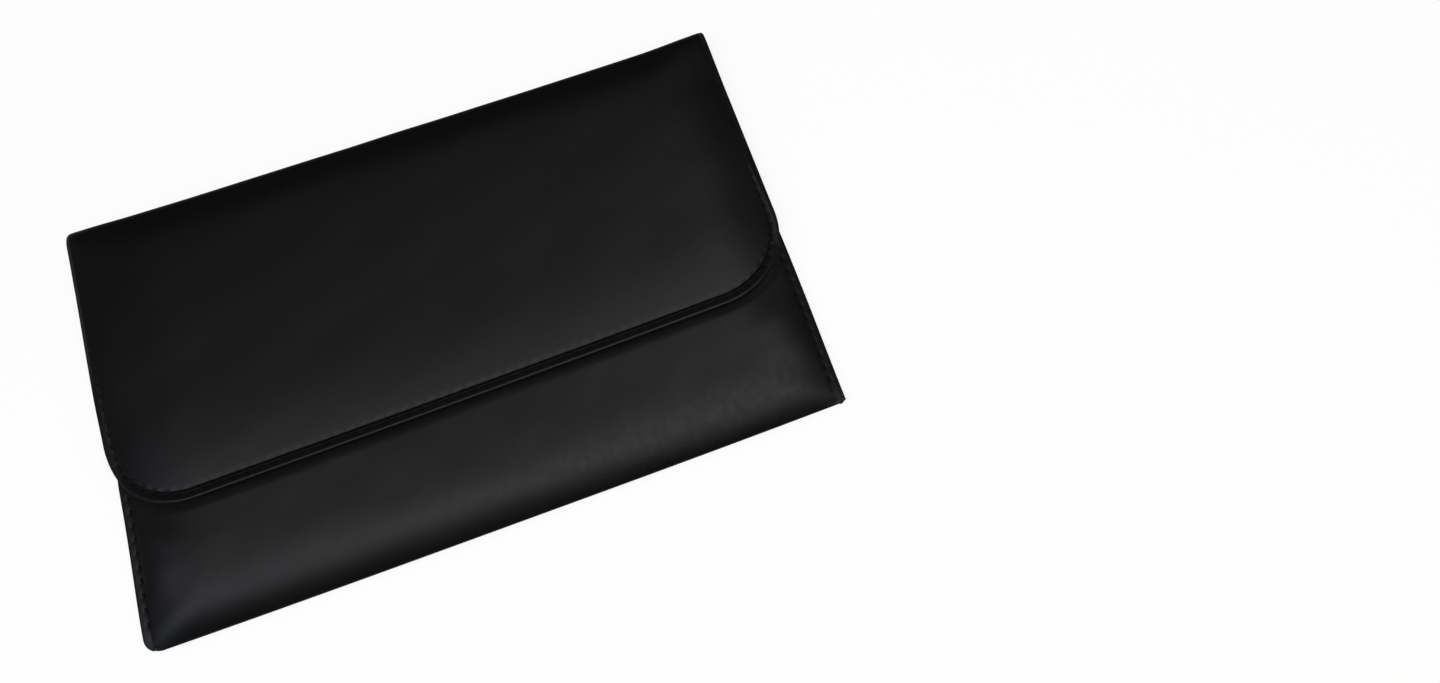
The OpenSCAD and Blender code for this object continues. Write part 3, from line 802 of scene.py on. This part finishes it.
inner = {
    "lining": 0.18,
    "backTop": 1.97,  # the back's lining lies on the turned-in hems
    "backInset": 1.7,
    "backStart": -69.3,
    "backGrid": (81, 96),  # columns and rows
    "backWaves": 0.02,  # height of its slow waves
    "backBend": (0.15, 1.4),  # turn in radians from which it goes over to the spine, and over how much
    "wallY": 70.9,  # inner face of the spine
    "turn": 1.6,  # radius of the lining's bends at the top fold
    "flapInset": 1.45,
    "flapSunk": 0.03,  # how far its face lies inside the flap's underside
    "flapCells": (12, 60, 30),  # cells of its grid: corner, front and side
    "flapTail": (0.4, 0.9),  # rows of its straight end past the bend
    "flapBend": (-0.5, 3.2),  # the same, as lengths from where the bend starts
    "frontReach": 107.5,
    "frontGrid": (91, 86),
    "footInset": 2.2,  # how far over the foot at the bottom fold it ends
    "frontDepth": 1.8,  # under the front's face, where the board lies between
    "borderDepth": 0.95,  # under the soft borders
    "boardX": 90.0,  # where the change from one to the other ends at the sides, and starts at the bottom
    "boardY": -52.0,
    "boardOver": (5.0, 6.0),  # width of that change, across and lengthwise
    "bunched": 0.8,  # how much closer the columns lie at the sides: 0 is even, 1 is a full sine
    "mouthInset": 5.5,
    "foamInset": 5.7,
    "foamFloor": 1.62,  # heights over the flap's underside, as for the board
    "foamEnd": 63.0,
    "foamClear": 0.07,  # air between the foam and the skin
    "foamLeast": 0.12,  # thickness that it keeps
    "slabCells": (10, 50, 30),  # cells of the foam and of the board: corner, front and side
    "boardInset": 5.9,
    "boardFloor": 0.35,
    "boardTop": 1.55,
    "boardEnd": 64.0,
    "magnetSlack": 0.05,
}


def makeBackLining():
    # Flat over the back, then round a quarter circle and up the spine's inner wall
    low, r = inner["backTop"], inner["turn"]
    columns, rows = inner["backGrid"]
    flat = np.linspace(inner["backStart"], inner["wallY"] - r, rows)
    turn = np.linspace(0, math.pi / 2, 7)[1:]
    climb = np.linspace(0, 1, 4)[1:]
    x = np.linspace(-1, 1, columns)
    turned = np.concatenate([0 * flat, turn, 0 * climb + math.pi / 2])[:, None]
    flatY = np.concatenate([flat, np.full(len(turn) + len(climb), inner["wallY"] - r)])
    y = flatY[:, None] + r * np.sin(turned)
    raised = np.concatenate([0 * flat, 0 * turn, climb])[:, None]
    half = np.minimum(widthAt(y, x), pouch["flapX"]) - inner["backInset"]
    x = x * half
    z = low + r * (1 - np.cos(turned)) + raised * np.maximum(splitHeight(x) - low - r, 0.1)
    waves = ripples(x, y, seed=21, count=6, shortest=20, longest=60, amplitude=inner["backWaves"])
    z = z + waves * (turned == 0)
    run = flat[-1] + r * turned + raised * 2 + (y - flat[-1]) * (turned == 0)
    piece = addGrid("backLining", settled(x, y + 0 * x, z), flatCut(x, run + 0 * x))
    share = ramp(turned, inner["backBend"]) + 0 * x
    return piece, share, (2 * half.max(), run.max() - run.min())


def makeFlapLining():
    # Covers the flap's underside inside its edge, then bends down in a quarter circle at the top fold
    r = inner["turn"]
    level = inner["wallY"] - r - pouch["flapY"]
    columns, rows = fieldLines(inner["flapInset"], *inner["flapCells"], 1, 1)
    rows = rows[:rows.searchsorted(level - 2)]
    bend = level + r * np.linspace(0, math.pi / 2, 7)
    tail = bend[-1] + np.array(inner["flapTail"])
    rows = np.concatenate([rows, [level - 2], bend, tail])
    x, p = cornerMapped(*np.meshgrid(columns, rows), inner["flapInset"])
    turn = np.clip((p - level) / r, 0, math.pi / 2)
    y = pouch["flapY"] + np.minimum(p, level) + r * np.sin(turn)
    z = underAt(x, np.minimum(y, pouch["flapY"] + level)) + inner["flapSunk"]
    z = z - r * (1 - np.cos(turn))
    z = z - np.maximum(p - level - r * math.pi / 2, 0)
    piece = addGrid("flapLining", settled(x, y, z, onFlap=True), flatCut(x, p), flip=True)
    share = 1 - ramp(p - level, inner["flapBend"])
    return piece, share, (x.max() - x.min(), p.max() - p.min())


def makeFrontLining():
    # Follows the front's inside, under its board and under the soft borders, down to the bottom fold
    bunched = inner["bunched"]
    columns, rows = inner["frontGrid"]
    x = np.sin(np.linspace(-1, 1, columns) * math.pi / 2 * bunched)
    x = inner["frontReach"] * x / math.sin(math.pi / 2 * bunched)
    y = np.linspace(footY + inner["footInset"], pouch["mouthY"] - inner["mouthInset"], rows)
    x, y = np.meshgrid(x, y)
    overX, overY = inner["boardOver"]
    overBoard = smooth((inner["boardX"] - np.abs(x)) / overX) * smooth((y - inner["boardY"]) / overY)
    depth = inner["borderDepth"] + (inner["frontDepth"] - inner["borderDepth"]) * overBoard
    z = frontHeight(x, y) - depth
    piece = addGrid("frontLining", settled(x, y, z), flatCut(x, y), flip=True)
    return piece, liftShare(x, y), (2 * inner["frontReach"], y.max() - y.min())


def makeSlab(name, inset, end, heights):
    # Closed slab with the outline of the flap at an inset, ending short of the top fold. heights() gives z on
    # its lower and on its upper face.
    columns, rows = fieldLines(inset, *inner["slabCells"], 1, 1)
    stop = end - pouch["flapY"]
    rows = np.concatenate([rows[:rows.searchsorted(stop - 1)], [stop]])
    x, p = cornerMapped(*np.meshgrid(columns, rows), inset)
    y = pouch["flapY"] + p
    low, top = heights(x, y, p)
    upper = settled(x, y, top, onFlap=True).reshape(-1, 3)
    lower = settled(x, y, low, onFlap=True).reshape(-1, 3)
    index = np.arange(x.size).reshape(x.shape)
    rim = np.concatenate([index[0, :-1], index[:-1, -1], index[-1, :0:-1], index[:0:-1, 0]])
    after = np.roll(rim, -1)
    walls = np.stack([rim + x.size, after + x.size, after, rim], -1)
    return addMesh(name, np.concatenate([upper, lower]),
                   [gridFaces(*x.shape), gridFaces(*x.shape, x.size)[:, ::-1], walls])


def foamFaces(x, y, p):
    # From the board to the skin, thinner where the skin sinks towards the top fold
    low = underAt(x, y) + inner["foamFloor"]
    face = underFlap(x) + flapHeight(flapInset(x, p), p) + topSway(x, y)
    return low, np.maximum(face - flap["skin"] - inner["foamClear"], low + inner["foamLeast"])


def boardFaces(x, y, p):
    # Two even distances over the flap's underside
    return underAt(x, y) + inner["boardFloor"], underAt(x, y) + inner["boardTop"]


def cutHoles(piece, nodes, slack):
    # Round holes for the magnets, cut once by an exact boolean with cylinders longer than the board is thick
    cutters = bmesh.new()
    for name in nodes:
        low, high = boxMm(name)
        radius = ((high - low)[0] / 2 + slack) * 0.001
        made = bmesh.ops.create_cone(
            cutters, cap_ends=True, segments=48, depth=0.01, radius1=radius, radius2=radius)
        bmesh.ops.translate(cutters, verts=made["verts"], vec=(low + high) / 2 * 0.001)
    mesh = bpy.data.meshes.new("cutters")
    cutters.to_mesh(mesh)
    cutters.free()
    tool = bpy.data.objects.new("cutters", mesh)
    bpy.context.scene.collection.objects.link(tool)
    cut = piece.modifiers.new("holes", "BOOLEAN")
    cut.object, cut.operation, cut.solver = tool, "DIFFERENCE", "EXACT"
    finished = bpy.data.meshes.new_from_object(piece.evaluated_get(bpy.context.evaluated_depsgraph_get()))
    piece.modifiers.clear()
    piece.data = finished
    bpy.data.objects.remove(tool)
    bpy.data.meshes.remove(mesh)


stitch = {
    "length": 3.0,
    "radius": 0.34,
    "slant": 9.0,  # degrees off the seam's line
    "sides": 7,
    "dip": 0.5,  # how far the ends go down into the skin
    "along": (-0.94, -0.78, -0.34, 0.34, 0.78, 0.94),  # the rings' places, as shares of half the length
    "girth": (0.5, 0.88, 1.0, 1.0, 0.88, 0.5),
    "raised": 0.02,  # of the flap's and the mouth's thread, over the place that each seam gives
    "sideRaised": 0.05,
    "flapSunk": 0.2,  # how far the axis lies below the skin's face
    "mouthSunk": 0.08,
    "underSunk": 0.36,  # and over the floor on the underside, but no less than floorClear
    "floorClear": 0.03,
}


def stitchRun(name, place, starts, height):
    # Stitches at distances along a seam. Each is a capsule whose ends dip by the fourth power, and place()
    # bends arrays of (distance along the seam, distance across it, height over the skin) onto the piece.
    along = np.array(stitch["along"]) * stitch["length"] / 2
    girth = np.array(stitch["girth"]) * stitch["radius"]
    rings = len(along)
    turn = np.arange(stitch["sides"]) / stitch["sides"] * 2 * math.pi
    u = np.concatenate([np.repeat(along, stitch["sides"]), [-stitch["length"] / 2, stitch["length"] / 2]])
    v = np.concatenate([np.outer(girth, np.cos(turn)).ravel(), [0, 0]])
    w = np.concatenate([np.outer(girth, np.sin(turn)).ravel(), [0, 0]])
    w = w + height - stitch["dip"] * (np.abs(u) / stitch["length"] * 2) ** 4
    slant = math.radians(stitch["slant"])
    s = starts[:, None] + u * math.cos(slant) - v * math.sin(slant)
    across = u * math.sin(slant) + v * math.cos(slant) + 0 * s
    points = place(s, across, w + 0 * s)
    ring = np.arange(rings * stitch["sides"]).reshape(rings, -1)
    right = np.roll(ring, -1, axis=1)
    body = np.stack([ring[:-1], right[:-1], right[1:], ring[1:]], -1).reshape(-1, 4)
    first = rings * stitch["sides"]
    caps = np.concatenate([
        np.stack([right[0], ring[0], 0 * ring[0] + first], -1),
        np.stack([ring[-1], right[-1], 0 * ring[0] + first + 1], -1)])
    step = (np.arange(len(starts)) * len(u))[:, None, None]
    faces = [(body + step).reshape(-1, 4), (caps + step).reshape(-1, 3)]
    uv = flatCut(u, np.concatenate([np.tile(turn * stitch["radius"], rings), [0, 0]]))
    return addMesh(name, points.reshape(-1, 3), faces, np.tile(uv, (len(starts), 1)))


def rowOf(count, pitch, middle=0.0):
    # Evenly spaced places about a middle
    return middle + (np.arange(count) - (count - 1) / 2) * pitch


def makeFlapThread():
    # Along the seam line, whose places and inward directions are read off between the outline's points
    fine = [fineRatio * c for c in fieldCells]
    x, p, nx, nP = edgePath(fine)
    run = seamRun(x, p, nx, nP, flap["seamInset"])

    def place(s, across, height):
        d = flap["seamInset"] + across
        sx, sp, snx, snp = [np.interp(s, run, values) for values in (x, p, nx, nP)]
        return settled(*flapPoint(sx + snx * d, sp + snp * d, d, stitch["flapSunk"] - height), onFlap=True)

    return stitchRun("flapThread", place, rowOf(flap["stitches"], flap["pitch"]), stitch["raised"])


def mirror(place):
    # Keeps the faces outward where the place turns the seam over
    return lambda s, across, height: place(s, -across, height)


def makeSeamThread(name, side):
    # The same lock stitch shows on the front and on the underside of the pocket, from the mouth down
    middle = pouch["mouthY"] - pocket["stitches"] * pocket["stitchPitch"] / 2

    def onFront(s, across, height):
        x = side * (pouch["edgeX"] - pocket["seamInset"] + across)
        return settled(x, s, frontHeight(x, s) - pocket["threadSunk"] + height)

    def onBack(s, across, height):
        x = side * (pouch["edgeX"] - pocket["seamInset"] - across)
        return settled(x, s, np.maximum(stitch["underSunk"] - height, stitch["floorClear"]))

    starts = rowOf(pocket["stitches"], pocket["stitchPitch"], middle)
    return [stitchRun(name + word, place if side < 0 else mirror(place), starts, stitch["sideRaised"])
            for word, place in (("", onFront), ("Under", onBack))]


def makeMouthThread():
    # Straight along the mouth, just inside its lip
    def place(s, across, height):
        y = pouch["mouthY"] - pocket["seamInset"] + across
        return settled(s, y, frontHeight(s, y) - stitch["mouthSunk"] + height)

    starts = rowOf(pocket["mouthStitches"], pocket["mouthPitch"])
    piece = stitchRun("mouthThread", place, starts, stitch["raised"])
    at = np.empty(len(piece.data.vertices) * 3, np.float32)
    piece.data.vertices.foreach_get("co", at)
    at = at.reshape(-1, 3) * 1000
    return piece, liftShare(at[:, 0], at[:, 1])


# Materials

def colour(code):
    # sRGB hex to linear
    values = [int(code[i:i + 2], 16) / 255 for i in (0, 2, 4)]
    return [v / 12.92 if v <= 0.04045 else ((v + 0.055) / 1.055) ** 2.4 for v in values] + [1.0]


def plug(tree, made, links):
    # Each link's value is a socket, or a node whose first output is taken
    for key, source in links.items():
        tree.links.new(getattr(source, "outputs", [source])[0], made.inputs[key])


def node(tree, kind, settings=None, links=None):
    # Adds a shader node. A setting is an input's value, or else a property.
    made = tree.nodes.new("ShaderNode" + kind)
    for key, value in (settings or {}).items():
        if isinstance(key, int) or key in made.inputs:
            made.inputs[key].default_value = value
        else:
            setattr(made, key, value)
    plug(tree, made, links or {})
    return made


def newMaterial(name):
    material = bpy.data.materials.new(name)
    material.use_nodes = True
    tree = material.node_tree
    return material, tree, tree.nodes["Principled BSDF"]


leather = {
    "dark": "040405",
    "light": "070708",
    "roughness": (0.37, 0.48),
    "dust": 2.2,  # millimetres across the small changes of roughness
    "specular": 0.4,
    "grain": 0.55,  # millimetres between pebbles, drawn somewhat coarser than real, which is too fine to show
    "grainDepth": 0.012,
    "swell": 7.0,  # millimetres across the faint unevenness
    "swellDepth": 0.12,
    "streak": (2.6, 4.6),  # millimetres across and along the fine gathers
    "streakDepth": 0.025,
    "patchy": 0.1,  # how much the roughness varies where the skin is gathered over the bottom border
    "gathered": (-48.0, -58.0),  # y in the flat cut from which that sets in, and where it is full
    "toRight": (-30.0, 40.0),  # x over which it grows
}


def leatheretteMaterial():
    # Black polyurethane leatherette, calendered smooth: a satin skin with a very fine pebble and faint
    # unevenness, which is duller and glossier in patches where it is gathered
    material, tree, shader = newMaterial("satinLeatherette")
    place = node(tree, "UVMap", {"uv_map": "flatCut"})
    swell = node(tree, "TexNoise", {"Scale": 1000 / leather["swell"], "Detail": 3.0}, {"Vector": place})
    tint = node(tree, "Mix", {
        "data_type": "RGBA", 6: colour(leather["dark"]), 7: colour(leather["light"])}, {0: swell})
    # Relief from coarse to fine, each on top of the one before
    low = node(tree, "Bump", {"Strength": 0.5, "Distance": leather["swellDepth"] * 0.001}, {"Height": swell})
    drawn = node(tree, "Mapping", {"Scale": [1000 / v for v in leather["streak"]] + [1]}, {"Vector": place})
    streak = node(tree, "TexNoise", {"Scale": 1.0, "Detail": 2.0}, {"Vector": drawn})
    middle = node(tree, "Bump", {
        "Strength": 0.5, "Distance": leather["streakDepth"] * 0.001}, {"Height": streak, "Normal": low})
    grain = node(tree, "TexVoronoi", {"Scale": 1000 / leather["grain"], "feature": "F1"}, {"Vector": place})
    high = node(tree, "Bump", {
        "Strength": 0.35, "Distance": leather["grainDepth"] * 0.001}, {"Height": grain, "Normal": middle})
    # Roughness: small changes everywhere, less the polish of the gathers
    dust = node(tree, "TexNoise", {"Scale": 1000 / leather["dust"], "Detail": 4.0}, {"Vector": place})
    worn = node(tree, "MapRange", {
        "To Min": leather["roughness"][0], "To Max": leather["roughness"][1]}, {"Value": dust})
    axes = node(tree, "SeparateXYZ", {}, {0: place})
    start, end = [0.001 * y for y in leather["gathered"]]
    gathered = node(tree, "MapRange", {
        "From Min": start, "From Max": end, "To Min": 0.0, "To Max": leather["patchy"]},
        {"Value": axes.outputs["Y"]})
    start, end = [0.001 * x for x in leather["toRight"]]
    toRight = node(tree, "MapRange", {
        "From Min": start, "From Max": end, "To Min": 0.3, "To Max": 1.0}, {"Value": axes.outputs["X"]})
    uneven = node(tree, "MapRange", {
        "From Min": 0.3, "From Max": 0.7, "To Min": -0.5, "To Max": 0.5}, {"Value": streak})
    uneven = node(tree, "Math", {"operation": "MULTIPLY"}, {0: uneven, 1: toRight})
    polish = node(tree, "Math", {"operation": "MULTIPLY"}, {0: gathered, 1: uneven})
    rough = node(tree, "Math", {"operation": "SUBTRACT"}, {0: worn, 1: polish})
    shader.inputs["Specular IOR Level"].default_value = leather["specular"]
    plug(tree, shader, {"Base Color": tint.outputs[2], "Roughness": rough, "Normal": high})
    return material


def paint(piece, material):
    piece.data.materials.clear()
    piece.data.materials.append(material)


cloth = {
    "thread": 0.45,  # drawn at nearly twice the real thread pitch, so that the weave shows in a whole view
    "relief": 0.1,
    # The weave's colour runs from dark between the threads to light on their crossings: painted shade and
    # painted highlight
    "dark": "0c0c0e",
    "light": "1d1d20",
    "roughness": 0.75,
    "sheen": 0.15,
}


def waveScale(pitch):
    # Scale of a wave texture with a crest and a trough each so many millimetres wide, so that it repeats
    # every two of them. Blender's bands repeat every 2 pi / 20 at a scale of 1.
    return 1000 / pitch / 20 * math.pi


def liningMaterial():
    # Black woven polyester: plain weave, over one thread and under the next, dull, with a faint lift where
    # the threads cross. Its colour is painted lighter on the crossings and darker between them, as painted
    # highlight and painted shade of the weave.
    material, tree, shader = newMaterial("wovenLining")
    place = node(tree, "UVMap", {"uv_map": "flatCut"})
    waves = [node(tree, "TexWave", {
        "wave_type": "BANDS", "bands_direction": direction, "Scale": waveScale(cloth["thread"]),
        "Distortion": 0.4, "Detail": 1.0}, {"Vector": place}).outputs["Fac"] for direction in ("X", "Y")]
    weave = node(tree, "Math", {"operation": "MULTIPLY"}, {0: waves[0], 1: waves[1]})
    # Painted highlight on the threads' crossings and painted shade between them, from the same weave as the
    # relief
    tint = node(tree, "Mix", {
        "data_type": "RGBA", 6: colour(cloth["dark"]), 7: colour(cloth["light"])}, {0: weave})
    bump = node(tree, "Bump", {"Strength": 0.6, "Distance": cloth["relief"] * 0.001}, {"Height": weave})
    plug(tree, shader, {"Base Color": tint.outputs[2], "Normal": bump})
    shader.inputs["Roughness"].default_value = cloth["roughness"]
    shader.inputs["Sheen Weight"].default_value = cloth["sheen"]
    return material


twist = {
    "ply": 0.42,  # millimetres across one ply, and across the furrow beside it
    "lean": 32.0,  # degrees
    "relief": 0.1,
    # The colour runs from dark in the furrows to light on the plies: painted shade and painted highlight
    "dark": "060607",
    "light": "101012",
    "roughness": 0.7,
    "specular": 0.2,
}


def threadMaterial():
    # Black twisted polyester thread: slanting plies with a slight gloss, and colour painted lighter on each
    # ply as painted highlight and darker in the furrows between as painted shade
    material, tree, shader = newMaterial("twistedThread")
    place = node(tree, "UVMap", {"uv_map": "flatCut"})
    leaned = node(tree, "Mapping", {"Rotation": (0, 0, math.radians(twist["lean"]))}, {"Vector": place})
    ply = node(tree, "TexWave", {
        "bands_direction": "X", "Scale": waveScale(twist["ply"])}, {"Vector": leaned}).outputs["Fac"]
    # Painted highlight on the plies and painted shade in the furrows between them
    tint = node(tree, "Mix", {
        "data_type": "RGBA", 6: colour(twist["dark"]), 7: colour(twist["light"])}, {0: ply})
    bump = node(tree, "Bump", {"Strength": 0.7, "Distance": twist["relief"] * 0.001}, {"Height": ply})
    plug(tree, shader, {"Base Color": tint.outputs[2], "Normal": bump})
    shader.inputs["Roughness"].default_value = twist["roughness"]
    shader.inputs["Specular IOR Level"].default_value = twist["specular"]
    return material


def speckledMaterial(name, dark, light, grain, roughness, depth, metal=0.0):
    # Noise at the grain's size in millimetres between two colours, with the same noise as relief
    material, tree, shader = newMaterial(name)
    place = node(tree, "TexCoord").outputs["Object"]
    speck = node(tree, "TexNoise", {
        "Scale": 1000 / grain, "Detail": 5.0, "Roughness": 0.65}, {"Vector": place})
    sharp = node(tree, "MapRange", {"From Min": 0.32, "From Max": 0.68}, {"Value": speck})
    tint = node(tree, "Mix", {"data_type": "RGBA", 6: colour(dark), 7: colour(light)}, {0: sharp})
    rough = node(tree, "MapRange", {
        "To Min": roughness - 0.07, "To Max": roughness + 0.07}, {"Value": speck})
    bump = node(tree, "Bump", {"Strength": 0.5, "Distance": depth * 0.001}, {"Height": speck})
    plug(tree, shader, {"Base Color": tint.outputs[2], "Roughness": rough, "Normal": bump})
    shader.inputs["Metallic"].default_value = metal
    return material


# Pieces

def dress(piece, material, slot, *nodes, body=None):
    # Material, the CAD nodes that the piece stands for, and the body that a whole piece rides on. The slot is
    # not used.
    paint(piece, material)
    if body:
        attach(piece, body)
    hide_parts(*nodes)


leatherette = leatheretteMaterial()
lining = liningMaterial()
thread = threadMaterial()
# Dull pressed fibres
greyboard = speckledMaterial("greyboard", "6f675a", "978d7c", grain=0.8, roughness=0.85, depth=0.05)
# Pale open pores
foam = speckledMaterial("openCellFoam", "c4c2b8", "e4e2d8", grain=0.5, roughness=0.9, depth=0.2)
# Bright plating, faintly mottled
nickel = speckledMaterial(
    "nickelPlate", "b4b2ac", "c6c4be", grain=0.6, roughness=0.28, depth=0.004, metal=1.0)
# Rolled sheet, duller
steel = speckledMaterial(
    "plainSteel", "8f9092", "a6a7a8", grain=0.35, roughness=0.42, depth=0.01, metal=1.0)

flapSkin, share = makeFlapSkin()
dress(flapSkin, leatherette, "leatherette", "flap_skin", "top_fold_skin")
thicken(flapSkin, flap["skin"])
blendBy(flapSkin, "spine", "flap", (0, 72, 9), (0, 70, 12), share)
dress(makeFlapThread(), thread, "thread", "flap_thread", body="flap")
print("flap skin and its seam made")

borderSpan = ((0, -70, 3), (0, -46, 8))  # from the bottom fold to the front's flat middle
frontSkin, share = makeFrontSkin()
dress(frontSkin, leatherette, "leatherette",
      "front_skin", "bottom_border_skin", "left_border_skin", "right_border_skin")
thicken(frontSkin, pocket["skin"])
blendBy(frontSkin, "pocket", "front", *borderSpan, share)
mouthThread, share = makeMouthThread()
dress(mouthThread, thread, "thread", "mouth_thread")
blendBy(mouthThread, "pocket", "front", *borderSpan, share)
for side, word in ((-1, "left"), (1, "right")):
    for seam in makeSeamThread(word + "SeamThread", side):
        dress(seam, thread, "thread", word + "_seam_thread", body="pocket")
print("front skin, mouth and side seams made")

backSkin, share = makeBackSkin()
dress(backSkin, leatherette, "leatherette", "back_skin", "bottom_fold_skin", "spine_skin")
thicken(backSkin, pocket["skin"])
blendBy(backSkin, "pocket", "spine", (0, 70, 0), (0, 72, 2), share)
print("back skin made")

flapBoard = makeSlab("flapBoard", inner["boardInset"], inner["boardEnd"], boardFaces)
cutHoles(flapBoard, ("left_magnet", "right_magnet"), inner["magnetSlack"])
dress(flapBoard, greyboard, "board", "flap_board", body="flap")
# Each lining: the nodes that it stands for, its two bodies, the bend between them, and how it is held
linings = (
    (makeBackLining, ("back_lining", "spine_lining"),
     ("pocket", "spine"), ((0, 69, 1), (0, 71, 3)), "laid", "back_board"),
    (makeFlapLining, ("flap_lining",),
     ("spine", "flap"), ((0, 71, 8), (0, 69, 10)), "stretched", "flapBoard"),
    (makeFrontLining, ("front_lining", "border_lining"),
     ("pocket", "front"), borderSpan, "stretched", "front_board"),
)
for make, nodes, bodies, span, held, under in linings:
    sheet, share, cut = make()
    dress(sheet, lining, "lining", *nodes)
    thicken(sheet, inner["lining"])
    blendBy(sheet, *bodies, *span, share)
flapFoam = makeSlab("flapFoam", inner["foamInset"], inner["foamEnd"], foamFaces)
dress(flapFoam, foam, "foam", "flap_foam", body="flap")
print("linings, foam and flap board made")

for name, material in (("back_board", greyboard), ("front_board", greyboard),
                       ("left_magnet", nickel), ("right_magnet", nickel),
                       ("left_striker", steel), ("right_striker", steel)):
    paint(frame["nodes"][name], material)
print("boards, magnets and strikers finished")

# Floor, light and camera

studio = {
    "floorSize": 6.0,  # metres
    "floorDrop": 0.05,  # millimetres under the pouch
    "floor": "8c8c8c",
    "floorGlow": 0.8,  # what the camera sees on top of the lit floor
    "air": 0.25,  # light from all round
    "airInGloss": 0.02,  # the white surroundings as the satin skin and the metal show them
}


def seenDirectly(tree):
    # 1 for what the camera sees straight or through glass, and the Light Path node that says so
    ray = node(tree, "LightPath")
    straight, glass = ray.outputs["Is Camera Ray"], ray.outputs["Is Transmission Ray"]
    return node(tree, "Math", {"operation": "MAXIMUM"}, {0: straight, 1: glass}), ray


def makeFloor():
    # A grey square that the camera sees as white, with the pouch's shadow on it
    half, low = studio["floorSize"] / 2 * 1000, -studio["floorDrop"]
    corners = [[-half, -half, low], [half, -half, low], [half, half, low], [-half, half, low]]
    floor = addMesh("floor", corners, [np.array([[0, 1, 2, 3]])])
    material, tree, shader = newMaterial("paintedFloor")
    shader.inputs["Base Color"].default_value = colour(studio["floor"])
    shader.inputs["Roughness"].default_value = 0.9
    shader.inputs["Specular IOR Level"].default_value = 0.0
    seen = seenDirectly(tree)[0]
    lit = node(tree, "Math", {"operation": "MULTIPLY", 1: studio["floorGlow"]}, {0: seen})
    glow = node(tree, "Emission", {}, {"Strength": lit})
    both = node(tree, "AddShader", {}, {0: shader, 1: glow})
    plug(tree, tree.nodes["Material Output"], {"Surface": both})
    paint(floor, material)


def makeAir():
    # White to the camera and through glass, fainter in gloss, and a weak even light otherwise
    world = bpy.data.worlds.new("studioAir")
    bpy.context.scene.world = world
    world.use_nodes = True
    tree = world.node_tree
    seen, ray = seenDirectly(tree)
    gloss = node(tree, "MapRange", {
        "To Min": studio["air"], "To Max": studio["airInGloss"]}, {"Value": ray.outputs["Is Glossy Ray"]})
    total = node(tree, "Math", {"operation": "MAXIMUM"}, {0: seen, 1: gloss})
    plug(tree, tree.nodes["Background"], {"Strength": total})
    tree.nodes["Background"].inputs["Color"].default_value = (1, 1, 1, 1)


# Softboxes, turned to the pouch: place and size in metres, power in watts, and colour
lamps = {
    "coolKey": {"place": (-0.553, -0.235, 0.951), "size": (0.64, 0.82), "power": 2.4, "tint": "f7f9ff"},
    "warmKey": {"place": (0.264, -0.235, 0.964), "size": (1.12, 0.82), "power": 4.25, "tint": "fffefb"},
    "backFill": {"place": (-0.16, 0.46, 1.0), "size": (0.5, 0.3), "power": 0.14, "tint": "ffffff"},
    "leftBox": {"place": (-0.95, -0.38, 0.65), "size": (0.5, 0.5), "power": 0.55, "tint": "c8d2ff"},
    "leftWall": {"place": (-1.15, 0.05, 0.85), "size": (0.6, 0.45), "power": 0.4, "tint": "f4f6ff"},
    "rightBox": {"place": (0.85, -0.42, 0.6), "size": (0.4, 0.4), "power": 0.2, "tint": "fff2e2"},
    "rightWall": {"place": (1.0, 0.1, 0.55), "size": (0.5, 0.5), "power": 0.12, "tint": "fff4e6"},
}


def addLamp(name, place, size, power, tint):
    # An area light that faces the middle of the pouch
    lamp = bpy.data.lights.new(name, "AREA")
    lamp.shape = "RECTANGLE"
    lamp.size, lamp.size_y = size
    lamp.energy = power
    lamp.color = colour(tint)[:3]
    holder = bpy.data.objects.new(name, lamp)
    bpy.context.scene.collection.objects.link(holder)
    holder.location = place
    holder.rotation_euler = (Vector((0, 0, 0)) - Vector(place)).to_track_quat("-Z", "Y").to_euler()


makeFloor()
makeAir()
for name, values in lamps.items():
    addLamp(name, **values)

view = {
    "lens": 25.0,
    "sensor": 36.0,
    "picture": (1440, 683),
    "principalRow": 264.5,  # the row of the picture that the camera's axis meets
    "place": (57.93, -112.07, 327.79),
    "turned": (17.705, 0.254, -19.862),  # degrees
    "nearest": 0.01,
}
camera = bpy.data.objects.new("camera", bpy.data.cameras.new("camera"))
bpy.context.scene.collection.objects.link(camera)
camera.data.lens = view["lens"]
camera.data.sensor_width = view["sensor"]
columns, rows = view["picture"]
camera.data.shift_y = (view["principalRow"] - rows / 2) / columns
camera.location = [v * 0.001 for v in view["place"]]
camera.rotation_euler = [math.radians(angle) for angle in view["turned"]]
camera.data.clip_start = view["nearest"]
bpy.context.scene.camera = camera
bpy.context.scene.view_settings.view_transform = "Standard"
